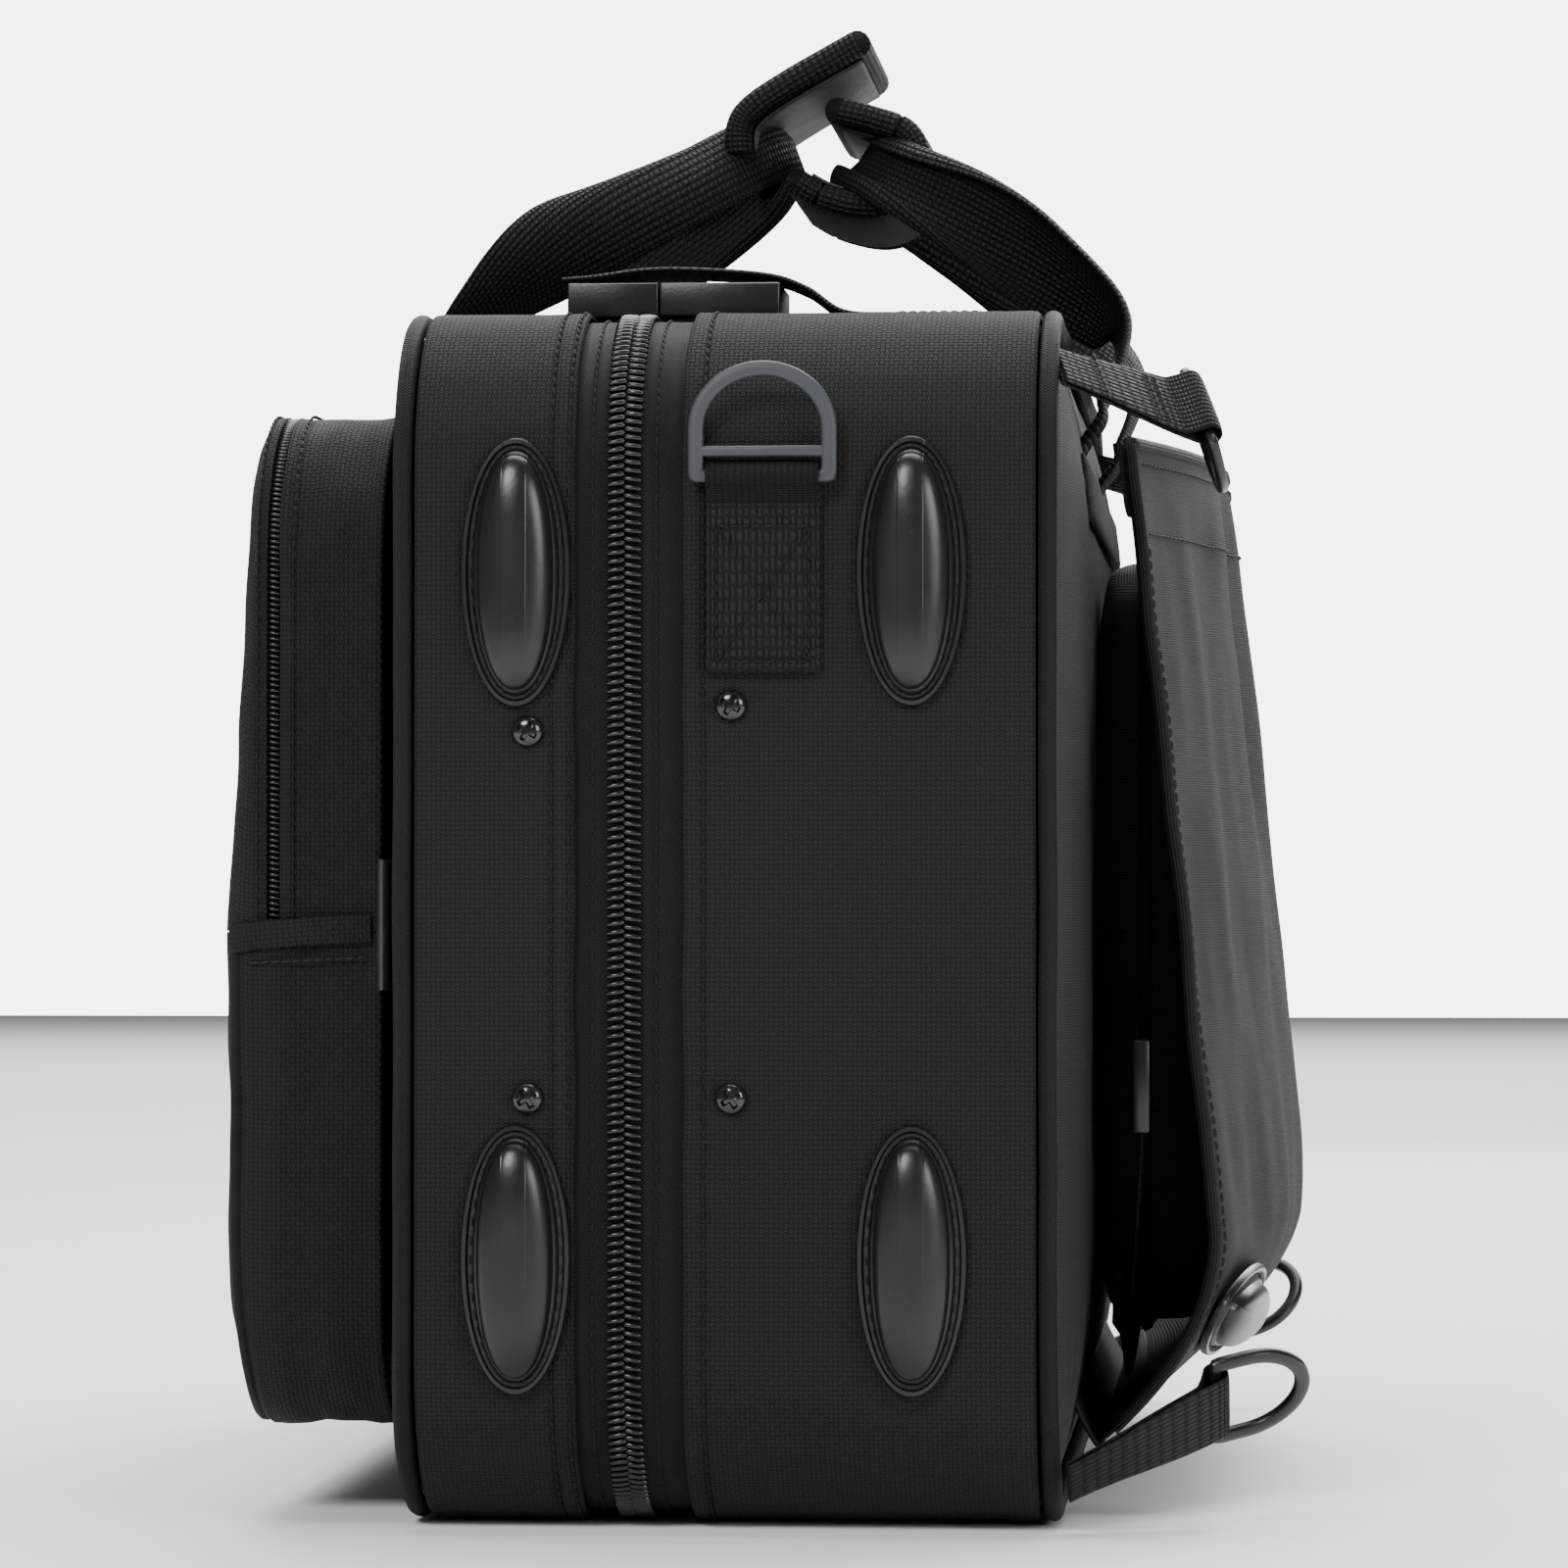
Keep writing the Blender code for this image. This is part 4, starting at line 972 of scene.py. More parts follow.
class CASE_OT_zips(PieceMaker, bpy.types.Operator):
    """Lays the main zip's two tapes and its interlocked coil, and the hinge strip under it"""

    bl_idname = "case.zips"
    bl_label = "Main zip"

    def build(self, sizes):
        for index, (half, way, body) in enumerate(HALVES):
            keys = [*TAPE_KEYS, TAPE_KEYS[0]]
            runs = [0.0]
            for one, two in zip(keys, keys[1:]):
                runs.append(runs[-1] + hypot(two[0] - one[0], two[1] - one[1]))

            def shape(u, v):
                y, inset = keys[round(v * (len(keys) - 1))]
                distance = mix(ZIP_START, ZIP_STOP, u)
                x, z, _, _ = CASE_TRACK.at(distance, inset)
                return Vector((x, way * y, z)), (distance, runs[round(v * (len(keys) - 1))])

            made = patch(380, len(keys) - 1, shape)
            bmesh.ops.holes_fill(made, edges=made.edges, sides=12)
            piece(f"{half}_tape", made, "herringbone", body, "zip_coil", (f"{half}_zip",), sharp=50)
            line = (CASE_TRACK, ZIP_START, ZIP_STOP, sizes.tooth_pitch, way)
            teeth = coil(*line, 0.0052, -way * 0.0004, 0.0015, 0.0011, index / 2)
            piece(f"{half}_coil", teeth, "coil_nylon", body, "zip_coil", sharp=0)

            def seam(share):
                x, z, nx, nz = CASE_TRACK.at(mix(ZIP_START, ZIP_STOP, share), 0.00235)
                return Vector((x, way * 0.0082, z)), Vector((nx, 0, nz))

            stitches(f"{half}_tape_stitches", [(seam, ZIP_STOP - ZIP_START)], body, "zip_coil", pitch=0.0030)

        def strip(u, v):
            y = mix(-0.0125, 0.0150, u)
            sag = 0.0003 * sin(pi * u)
            if v < 0.5:
                x = mix(-HINGE_REACH, HINGE_REACH, v * 2)
                return Vector((x, y, 0.0001 + sag)), (x, y)
            x = mix(HINGE_REACH, -HINGE_REACH, v * 2 - 1)
            return Vector((x, y, 0.0012 + sag)), (x, y + 0.04)

        made = capped(patch(16, 60, strip), 70)
        across = ("rear_case", "lid", (0, 0.006, 0), (0, -0.006, 0))
        piece("hinge_cloth", made, "wall_cloth", across, "ballistic_fabric", ("hinge_strip",))


# ---- Bumpers and screws ----


BUMPER_LENGTH, BUMPER_WIDTH, BUMPER_HEIGHT = 0.069, 0.0285, 0.0084
RIM_KEYS = (
    (0.0, 0.0), (0.0, 0.0011), (0.0005, 0.0018), (0.0015, 0.0019),
    (0.0021, 0.0010), (0.0031, 0.0010), (0.0037, 0.0022), (0.0044, 0.0027),
)


def bumper(place):
    """A moulded oval on local XY: a raised rim, a sewn groove and a long dome."""
    half_width, half_length = BUMPER_WIDTH / 2, BUMPER_LENGTH / 2
    keys = [(inset, inset, up) for inset, up in RIM_KEYS]
    steps = 9
    for i in range(1, steps + 1):
        turn = pi / 2 * i / steps
        shrink = 1 - cos(turn)
        run = mix(0.0044, half_width - 0.0002, shrink)
        end = mix(0.0044, half_length - 0.0105, shrink)
        keys.append((run, end, mix(0.0027, BUMPER_HEIGHT, sin(turn) ** 0.9)))

    def shape(u, v):
        across, end, up = keys[round(v * (len(keys) - 1))]
        turn = 2 * pi * u
        power = mix(1.0, 0.8, v)
        x = (half_width - across) * squared(cos(turn), power)
        y = (half_length - end) * squared(sin(turn), power)
        return place @ Vector((x, y, up)), (x, y)

    made = capped(patch(72, len(keys) - 1, shape), 80)

    def groove(share):
        turn = 2 * pi * share
        spot = Vector(((half_width - 0.0026) * cos(turn), (half_length - 0.0026) * sin(turn), 0.00115))
        return place @ spot, place.to_3x3().col[2]

    return made, (groove, 0.148)


def end_place(side, y, z, standoff=GAP):
    """Local XY lies on an end face: X forward or back, Y up, Z outwards."""
    return frame_on(Vector((side * (HALF_LENGTH + standoff), y, z)), Vector((0, side, 0)), Vector((0, 0, 1)))


BUMPER_Y = {"front": -0.0275, "rear": 0.0735}
BUMPER_Z = {"low": 0.070, "high": 0.245}
SCREWS = {"front": (-0.0245, 0.1110, 0.2045), "rear": (0.0275, 0.1110, 0.2110)}


class CASE_OT_bumpers(PieceMaker, bpy.types.Operator):
    """Moulds the oval bumpers of the two ends and sews them on"""

    bl_idname = "case.bumpers"
    bl_label = "Bumpers"

    def build(self, sizes):
        for half, _, body in HALVES:
            seams = []
            for label, side in SIDES:
                for level, z in BUMPER_Z.items():
                    made, seam = bumper(end_place(side, BUMPER_Y[half], z))
                    seams.append(seam)
                    node = f"{half}_bumper_{label}_{level}"
                    name = f"bumper_{half}_{label}_{level}"
                    piece(name, made, "bumper_plastic", body, "bumper_plastic", (node,))
            sewn = (body, "bumper_plastic", "light_thread", 0.0036)
            stitches(f"{half}_bumper_stitches", seams, *sewn, width=0.0008)


class CASE_OT_screws(PieceMaker, bpy.types.Operator):
    """Turns the cross-slotted screws and the backing bars that they clamp"""

    bl_idname = "case.screws"
    bl_label = "Screws"

    def build(self, sizes):
        radius, height, depth = 0.0042, 0.0025, 0.0013
        for half, _, body in HALVES:
            y, *levels = SCREWS[half]
            for label, side in SIDES:
                builder = bmesh.new()
                for index, z in enumerate(levels):
                    place = end_place(side, y, z) @ Matrix.Rotation(0.35 + index * 0.5 + side * 0.2, 4, "Z")

                    def head(u, v):
                        a, b = 2 * u - 1, 2 * v - 1
                        x, y = a * (1 - b * b / 2) ** 0.5, b * (1 - a * a / 2) ** 0.5
                        far = min(1.0, hypot(x, y))
                        up = height * (1 - far**2.6) ** 0.55
                        arm = min(abs(a), abs(b))
                        if arm < 0.15 and max(abs(a), abs(b)) < 0.62:
                            up -= depth * (1 if arm < 0.11 else 0.55)
                        return place @ Vector((x * radius, y * radius, max(up, 0.0)))

                    patch(40, 40, head, builder=builder)
                bar_place = end_place(side, y, 0, 0)
                low = (-0.0068, levels[0] - 0.0118, -0.0091)
                block(builder, low, (0.0068, levels[1] + 0.0118, -0.0069), 0.0005, 2, bar_place)
                node = f"{half}_screw_bar_{label}"
                name = f"screws_{half}_{label}"
                piece(name, builder, "black_steel", body, "black_steel", (node,), sharp=35)


# ---- Rings and the webbing that holds them ----

WEBBING = 0.0013
RING_THICKNESS = 0.0030
LOOP_RADIUS = 0.00308  # the middle of the webbing where it turns round a bar
LOOP_STANDOFF = 0.00373


def d_ring(opening, height, leg, place, cross_bar):
    """A moulded ring with a straight strap bar on local X and a round bow towards +Y."""
    band, low = 0.0040, -RING_THICKNESS / 2
    half = opening / 2
    outer, inner = [(0.0, low)], [(0.0, -low)]
    foot = ((-0.0022, 0.0, -0.0009, 0.0), (-0.0006, 0.0006, -0.0002, 0.0004), (0.0, 0.0024, 0.0, 0.0016))
    for ox, oy, ix, iy in foot:
        outer.append((half + band + ox, low + oy))
        inner.append((half + ix, -low + iy))
    outer.append((half + band, leg * 0.6))
    inner.append((half, leg * 0.6))
    steps = 26
    for i in range(steps + 1):
        turn = pi * i / steps
        outer.append(((half + band) * cos(turn), leg + (height + low - leg) * sin(turn)))
        inner.append((half * cos(turn), leg + (height + low - leg - band) * sin(turn)))
    for loop in (outer, inner):
        loop += [(-x, y) for x, y in reversed(loop[1:5])]
    count = len(outer)

    def shape(u, v):
        at = round(u * count) % count
        (ox, oy), (ix, iy) = outer[at], inner[at]
        turn = 2 * pi * v
        c, s = squared(cos(turn), 0.55), squared(sin(turn), 0.7)
        x, y = (ox + ix) / 2 + (ox - ix) / 2 * c, (oy + iy) / 2 + (oy - iy) / 2 * c
        return place @ Vector((x, y, s * RING_THICKNESS / 2))

    made = patch(count, 16, shape, (0.1, 0.01))
    if cross_bar:
        foot = RING_THICKNESS / 2 + 0.0035
        low_corner, high_corner = (-half - 0.001, foot, -0.0013), (half + 0.001, foot + 0.0028, 0.0013)
        block(made, low_corner, high_corner, 0.0008, 3, place)
    return made


def looped_path(length):
    """(along, outward) of webbing that lies double and turns round a bar at the origin."""
    low = -LOOP_STANDOFF + WEBBING / 2
    points = [(-length, low), (-length * 0.66, low), (-length * 0.33, low), (-0.001, low)]
    for turn in (-60, -25, 10, 45, 80, 115, 150):
        points.append((LOOP_RADIUS * cos(radians(turn)), LOOP_RADIUS * sin(radians(turn))))
    points += [(-0.0052, -0.0008), (-0.0080, low + WEBBING), (-length * 0.45, low + WEBBING * 1.02)]
    points += [(-length * 0.75, low + WEBBING * 1.02), (-length + 0.0006, low + WEBBING * 1.02)]
    return [Vector((0, a, b)) for a, b in points]


def looped_strap(length, width, place, root_share=1.0):
    """Webbing sewn double, with a loop round a ring's bar."""
    path = looped_path(length)
    side = place.to_3x3().col[0]

    def taper(share):
        far = min(1.0, -along(path, share).y / length)
        return width * mix(1.0, root_share, ease(far * 1.15 - 0.1))

    return ribbon(lambda s: place @ along(path, s), lambda s: side, taper, WEBBING - 0.0001, 110, 20)


def seam_line(place, one, two, out):
    """A straight run of stitches between two points of local XY, at a height out."""
    a, b = place @ Vector((*one, out)), place @ Vector((*two, out))
    normal = place.to_3x3().col[2]
    return lambda s: (a.lerp(b, s), normal), (b - a).length


def box_stitch(place, half_width, low, high, out):
    """The lines of a box and its cross, sewn on local XY at a height out."""
    corners = [(-half_width, low), (half_width, low), (half_width, high), (-half_width, high)]
    lines = list(zip(corners, corners[1:] + corners[:1]))
    lines += [(corners[0], corners[2]), (corners[1], corners[3])]
    return [seam_line(place, one, two, out) for one, two in lines]


# For each level: the strap's length, its run, the ring's bar and the way that the ring hangs.
CORNER_KINDS = (
    ("top", 0.0390, Vector((-0.53, 0.80, -0.26)), Vector((0.70, 0.25, -0.67)), Vector((0.0, 0.30, -0.95))),
    ("low", 0.0420, Vector((-0.37, 0.84, 0.39)), Vector((0.72, 0.0, 0.69)), Vector((-0.22, 0.94, 0.23))),
)


class CASE_OT_end_rings(PieceMaker, bpy.types.Operator):
    """Makes the grey rings of the two ends and their box-stitched tabs"""

    bl_idname = "case.end_rings"
    bl_label = "End rings"

    def build(self, sizes):
        for label, side in SIDES:
            place = end_place(side, 0.0358, 0.2690, GAP + LOOP_STANDOFF)
            made = looped_strap(0.050, 0.0288, place)
            piece(f"tab_{label}", made, "webbing", "rear_case", "webbing", (f"end_tab_{label}",))
            made = d_ring(0.030, 0.031, 0.012, place, True)
            body = f"end_ring_{label}"
            piece(f"ring_{label}", made, "ring_plastic", body, "ring_plastic", (body,))
            out = -LOOP_STANDOFF + 2 * WEBBING
            runs = box_stitch(place, 0.0118, -0.0470, -0.0125, out)
            stitches(f"tab_{label}_stitches", runs, "rear_case", "webbing", pitch=0.0030)


class CASE_OT_corner_rings(PieceMaker, bpy.types.Operator):
    """Hangs the four corner rings on their short straps"""

    bl_idname = "case.corner_rings"
    bl_label = "Corner rings"

    def build(self, sizes):
        reach = (CORNER_RADIUS - 0.0040) * cos(pi / 4)
        for label, side in SIDES:
            for level, length, run, bar, hang in CORNER_KINDS:
                root_z = CASE_TOP - CORNER_RADIUS + reach if level == "top" else CORNER_RADIUS - reach
                root = Vector((HALF_LENGTH - CORNER_RADIUS + reach, DEPTH["rear"] + 0.0066, root_z))
                across = (run - run.dot(bar) / bar.length_squared * bar).normalized()
                flip = Vector((side, 1, 1))
                centre, run, hang = (flip * part for part in (root + length * across, run, hang))
                bar = side * flip * bar
                place = frame_on(centre, bar, run)
                strap = f"corner_strap_{label}_{level}"
                made = looped_strap(length + 0.004, 0.0238, place, 0.62)
                piece(f"{strap}_web", made, "webbing", "rear_case", "webbing", (strap,))
                made = d_ring(0.025, 0.027, 0.008, frame_on(centre, bar, hang), False)
                body = f"corner_ring_{label}_{level}"
                piece(f"{body}_bow", made, "black_plastic", body, "black_plastic", (body,))
                out = -LOOP_STANDOFF + 2 * WEBBING
                levels = (-0.011, -0.0135, -0.030)
                runs = [seam_line(place, (-0.0095, at), (0.0095, at), out) for at in levels]
                stitches(f"{strap}_stitches", runs, "rear_case", "webbing", "light_thread", 0.0028)


# ---- The flap and the straps behind it ----

FLAP_HALF, FLAP_LOW, FLAP_TOP = 0.157, 0.020, 0.283
FLAP_BUMPER_X, FLAP_BUMPER_Z = 0.115, 0.052


def flap_y(x, z):
    """The middle of the flap: it leaves its foot steeply, bellies out low down and bulges at mid-length."""
    share = (z - FLAP_LOW) / (FLAP_TOP - FLAP_LOW)
    belly = 0.029 * (1 - (1 - min(share / 0.2, 1)) ** 2) * (1 - 0.78 * max(share - 0.2, 0) / 0.8)
    rise = max(0.0, min(share / 0.3, 1))
    return 0.1205 + belly + 0.024 * rise * (2 - rise) * (1 - (x / FLAP_HALF) ** 2)


def flap_fold(x, z, wave):
    """How far the flap's soft upright folds push it out of its even curve."""
    share = (z - FLAP_LOW) / (FLAP_TOP - FLAP_LOW)
    free = ease(share / 0.25) * ease((1 - share) / 0.12 + 0.15)
    near_bumper = ease(1 - abs(abs(x) - FLAP_BUMPER_X) / 0.045) * ease(1 - abs(z - FLAP_BUMPER_Z) / 0.035)
    quiet = 1 - 0.75 * near_bumper
    folds = 0.6 * soft(x, 0, z * 0.22, 26.0, 11.0) + 0.3 * soft(x, 0, z * 0.35, 58.0, 3.0)
    return wave * free * quiet * (folds + 0.22 * soft(x, 0, z, 30.0, 6.0))


class CASE_OT_flap(PieceMaker, bpy.types.Operator):
    """Cuts the flap, lets it fall in soft folds, and sews its hems, hook strip, foot and bumpers"""

    bl_idname = "case.flap"
    bl_label = "Flap"

    def build(self, sizes):
        def surface(x, z, out=0.0):
            return Vector((x, flap_y(x, z) + flap_fold(x, z, sizes.flap_wave) + out, z))

        def sheet(u, v):
            x, z = mix(-FLAP_HALF, FLAP_HALF, u), mix(FLAP_LOW, FLAP_TOP, v)
            return surface(x, z), (x * 1.04, z * 1.06)

        made = patch(150, 110, sheet)
        cloth = piece(
            "flap_cloth", made, "back_cloth", "flap", "packcloth", ("flap",), thickness=0.0018, offset=0.0
        )

        def hem_place(share):
            line = (share * 3) % 3
            if line <= 1:
                return surface(FLAP_HALF - 0.001, mix(FLAP_LOW + 0.002, FLAP_TOP - 0.001, line))
            if line <= 2:
                return surface(mix(FLAP_HALF - 0.001, 0.001 - FLAP_HALF, line - 1), FLAP_TOP - 0.001)
            return surface(0.001 - FLAP_HALF, mix(FLAP_TOP - 0.001, FLAP_LOW + 0.002, line - 2))

        builder = bmesh.new()
        for first in range(3):
            line = lambda s, first=first: hem_place(min((first + s * 0.9999) / 3, 0.99999))
            strand(line, 0.0019, 90, 10, builder=builder)
        piece("flap_hem", builder, "binding", "flap", "packcloth", sharp=0)

        def flap_seam(one, two):
            return lambda s: (surface(*mix(Vector(one), Vector(two), s), 0.0011), Vector((0, 1, 0)))

        runs = [(flap_seam((-0.150, z), (0.150, z)), 0.300) for z in (0.2770, 0.2585)]
        runs += [(flap_seam((x, 0.030), (x, 0.255)), 0.225) for x in (0.1520, -0.1520)]
        stitches("flap_stitches", runs, "flap", "packcloth", "light_thread", sizes.stitch_pitch)

        def hooks(u, v):
            x, ring = mix(-FLAP_HALF + 0.002, FLAP_HALF - 0.002, u), 2 * pi * v
            z = 0.2722 + 0.0098 * squared(cos(ring), 0.4)
            return surface(x, z, -0.0025 + 0.0011 * squared(sin(ring), 0.7))

        made = capped(patch(120, 20, hooks, (0.31, 0.04)), 24)
        piece("flap_hooks", made, "hooks", "flap", "hook_and_loop", ("flap_hook_strip",), sharp=50)

        def loops(u, v):
            x, z = mix(-0.150, 0.150, u), mix(0.2620, 0.2800, v)
            edge = min(u * 50, (1 - u) * 50, v * 8, (1 - v) * 8, 1)
            inset = min(0.315 - z, 0.075)
            up = mix(-0.0006, 0.0118, 1 - (1 - inset / 0.075) ** 2.4)
            return Vector((x, 0.105 + up + 0.0008 + 0.0012 * edge, z))

        made = patch(110, 12, loops, (0.3, 0.02))
        piece("panel_loops", made, "hooks", "rear_case", "hook_and_loop", thickness=0.0012)

        def foot(u, v):
            x = mix(-FLAP_HALF + 0.0015, FLAP_HALF - 0.0015, u)
            path = [Vector((0, 0.1112, 0.0300)), Vector((0, 0.1145, 0.0230)), Vector((0, 0.1178, 0.0175))]
            path += [Vector((0, 0.1200, 0.0165)), Vector((0, flap_y(x, 0.0205), 0.0205)), surface(0, 0.0255)]
            path[-1].y = flap_y(x, 0.0255) + flap_fold(x, 0.0255, sizes.flap_wave) - 0.0012
            place = along(path, v)
            return Vector((x, place.y + 0.0004 * soft(x, 0, 0, 60.0), place.z)), (x, v * 0.03)

        across = ("rear_case", "flap", (0, 0.1150, 0.020), (0, 0.1215, 0.020))
        piece("flap_foot", patch(120, 14, foot), "back_cloth", across, "packcloth", thickness=0.0012)

        seams = []
        for label, side in SIDES:
            at_x, at_z = FLAP_BUMPER_X, FLAP_BUMPER_Z
            centre = Vector((side * at_x, flap_y(at_x, at_z), at_z))
            half_long, half_wide = BUMPER_LENGTH / 2, BUMPER_WIDTH / 2
            slope_x = flap_y(at_x + half_long, at_z) - flap_y(at_x - half_long, at_z)
            slope_z = flap_y(at_x, at_z + half_wide) - flap_y(at_x, at_z - half_wide)
            up = Vector((0, slope_z / (2 * half_wide), 1))
            place = frame_on(centre, up, Vector((1, side * slope_x / (2 * half_long), 0)))
            out = place.to_3x3().col[2]
            lifts = []
            for i in (-1, 0, 1):
                for j in (-1, 0, 1):
                    x, z = side * at_x + i * half_long, at_z + j * half_wide
                    lifts.append(out.dot(Vector((x, flap_y(x, z), z)) - centre))
            place = Matrix.Translation(out * (max(lifts) + 0.0015)) @ place
            made, seam = bumper(place)
            seams.append(seam)
            node = f"flap_bumper_{label}"
            piece(f"{node}_oval", made, "bumper_plastic", "flap", "bumper_plastic", (node,))
        sewn = ("flap", "bumper_plastic", "light_thread", 0.0036)
        stitches("flap_bumper_stitches", seams, *sewn, width=0.0008)


class CASE_OT_stowed_straps(PieceMaker, bpy.types.Operator):
    """Stuffs the two folded shoulder straps and adds their webbing and adjusters"""

    bl_idname = "case.stowed_straps"
    bl_label = "Stowed straps"

    def build(self, sizes):
        for label, side in SIDES:
            low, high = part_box(f"shoulder_strap_{label}")
            centre = (low + high) / 2
            half = (high - low) / 2

            def pad(u, v):
                ring = Track(half.x - 0.0015, low.z + 0.002, high.z - 0.002, 0.021)
                x, z, nx, nz = ring.at(u * ring.length)
                depth = mix(-1, 1, v)
                inset = 0.0025 * abs(depth) ** 3
                y = mix(low.y + 0.0012, high.y + 0.0065, (depth + 1) / 2)
                return Vector((centre.x + x - inset * nx, y, z - inset * nz))

            mesh = inflated(capped(patch(160, 4, pad), 200), 0.0035, 0.004)
            node = f"shoulder_strap_{label}"
            soft_look = ("padded_cloth", "rear_case", "strap_padding")
            strap = piece(f"{node}_pad", mesh, *soft_look, (node,), sharp=0, subdivide=1)

            def rim(share):
                ring = Track(half.x - 0.0006, low.z + 0.0012, high.z - 0.0012, 0.021)
                x, z, _, _ = ring.at(share * ring.length)
                return Vector((centre.x + x, centre.y, z))

            edge = strand(rim, 0.0017, 200, 8, closed=True)
            piece(f"{node}_rim", edge, "binding", "rear_case", "strap_padding", sharp=0)

            web = [
                Vector((side * 0.062, 0.1275, 0.066)), Vector((side * 0.066, 0.1285, 0.052)),
                Vector((side * 0.082, 0.1275, 0.042)), Vector((side * 0.104, 0.1265, 0.042)),
                Vector((side * 0.124, 0.1270, 0.056)), Vector((side * 0.136, 0.1290, 0.080)),
                Vector((side * 0.139, 0.1300, 0.104)), Vector((side * 0.137, 0.1285, 0.128)),
            ]

            def twist(share):
                return Vector((0, 0.15, 1)).lerp(Vector((1, 0, 0.2)), ease(share * 2 - 0.6))

            made = ribbon(lambda s: along(web, s), twist, lambda s: 0.019, WEBBING, 60, 16)
            piece(f"stowed_web_{label}", made, "webbing", "rear_case", "webbing", sharp=50)
            place = frame_on(Vector((side * 0.1375, 0.1300, 0.112)), Vector((1, 0, 0)), Vector((0, 0, 1)))
            builder = bmesh.new()
            bars = [(0.0, at, 0.0135, 0.0014, 0.0022) for at in (-0.011, -0.0035, 0.0035, 0.011)]
            bars += [(at, 0.0, 0.0016, 0.0124, 0.0024) for at in (-0.0125, 0.0125)]
            for bar_x, bar_y, long, wide, deep in bars:
                low_corner = (bar_x - long, bar_y - wide, -deep)
                block(builder, low_corner, (bar_x + long, bar_y + wide, deep), 0.0009, 2, place)
            piece(f"strap_adjuster_{label}", builder, "black_plastic", "rear_case", "black_plastic", sharp=35)


# ---- The front pocket ----

POCKET_HALF, POCKET_LOW, POCKET_TOP, POCKET_RADIUS = 0.195, 0.022, 0.290, 0.040
POCKET = Track(POCKET_HALF, POCKET_LOW, POCKET_TOP, POCKET_RADIUS)
POCKET_BACK, POCKET_FRONT, POCKET_ZIP, POCKET_SPLIT = -0.0669, -0.1079, -0.0964, 0.153
SIDE_KEYS = (-0.0685, -0.0710, -0.0760, -0.0810, -0.0860, -0.0905, -0.0930, -0.0964)
FACE_INSETS = (0.011, 0.016, 0.023, 0.032, 0.044, 0.058, 0.074, 0.092, 0.110, 0.126)


def pocket_lean(z):
    """How far the pocket's face falls back towards its top, and draws in at its foot."""
    return 0.0055 * ease((z - 0.13) / 0.15) + 0.0035 * ease((0.075 - z) / 0.05)


def pocket_shell():
    """The pocket's whole skin: its side from the case to the rolled edge, and its puffed face."""
    keys = [(POCKET_BACK + 0.0006, 0.0), *((y, 0.0) for y in SIDE_KEYS), (-0.0985, 0.0002)]
    for turn in (12, 26, 40, 55, 70, 84):
        keys.append((-0.0989 - 0.009 * sin(radians(turn)), 0.009 * (1 - cos(radians(turn)))))
    keys += [(POCKET_FRONT, inset) for inset in FACE_INSETS]
    count = len(keys) - 1

    def shape(u, v):
        y, inset = keys[round(v * count)]
        radius = max(POCKET_RADIUS - inset, 0.006)
        ring = Track(POCKET_HALF - inset, POCKET_LOW + inset, POCKET_TOP - inset, radius)
        x, z, nx, nz = ring.at(u * ring.length)
        front = ease((POCKET_ZIP - y) / 0.011)
        lean = pocket_lean(z) * front
        puff = 0.0012 * front * soft(x, 0, z, 16.0, 1.0) + 0.0006 * soft(x, y, z, 55.0, 8.0) * front
        corner = ease(1 - abs(abs(x) - 0.185) / 0.035) * ease(1 - abs(z - 0.276) / 0.04)
        side = ease((y - POCKET_BACK) / -0.004) * ease((y + 0.0945) / 0.006) if y > -0.094 else 0.0
        crease = side * (0.0011 * soft(x, y * 3.0, z, 60.0, 2.0) - 0.0006)
        crease += side * corner * (0.0022 * soft(x * 0.4, y * 5.0, z * 0.5, 70.0, 5.0) - 0.0010)
        place = Vector((x + nx * crease, y + lean + puff, z + nz * crease))
        return place, (u * POCKET.length if inset < 0.012 else x, -y if inset < 0.012 else z)

    return patch(420, count, shape)


def cut(made, spot, normal):
    """Keeps what lies on the normal's side of a plane."""
    everything = made.verts[:] + made.edges[:] + made.faces[:]
    bmesh.ops.bisect_plane(made, geom=everything, dist=1e-6, plane_co=spot, plane_no=normal, clear_inner=True)
    return made


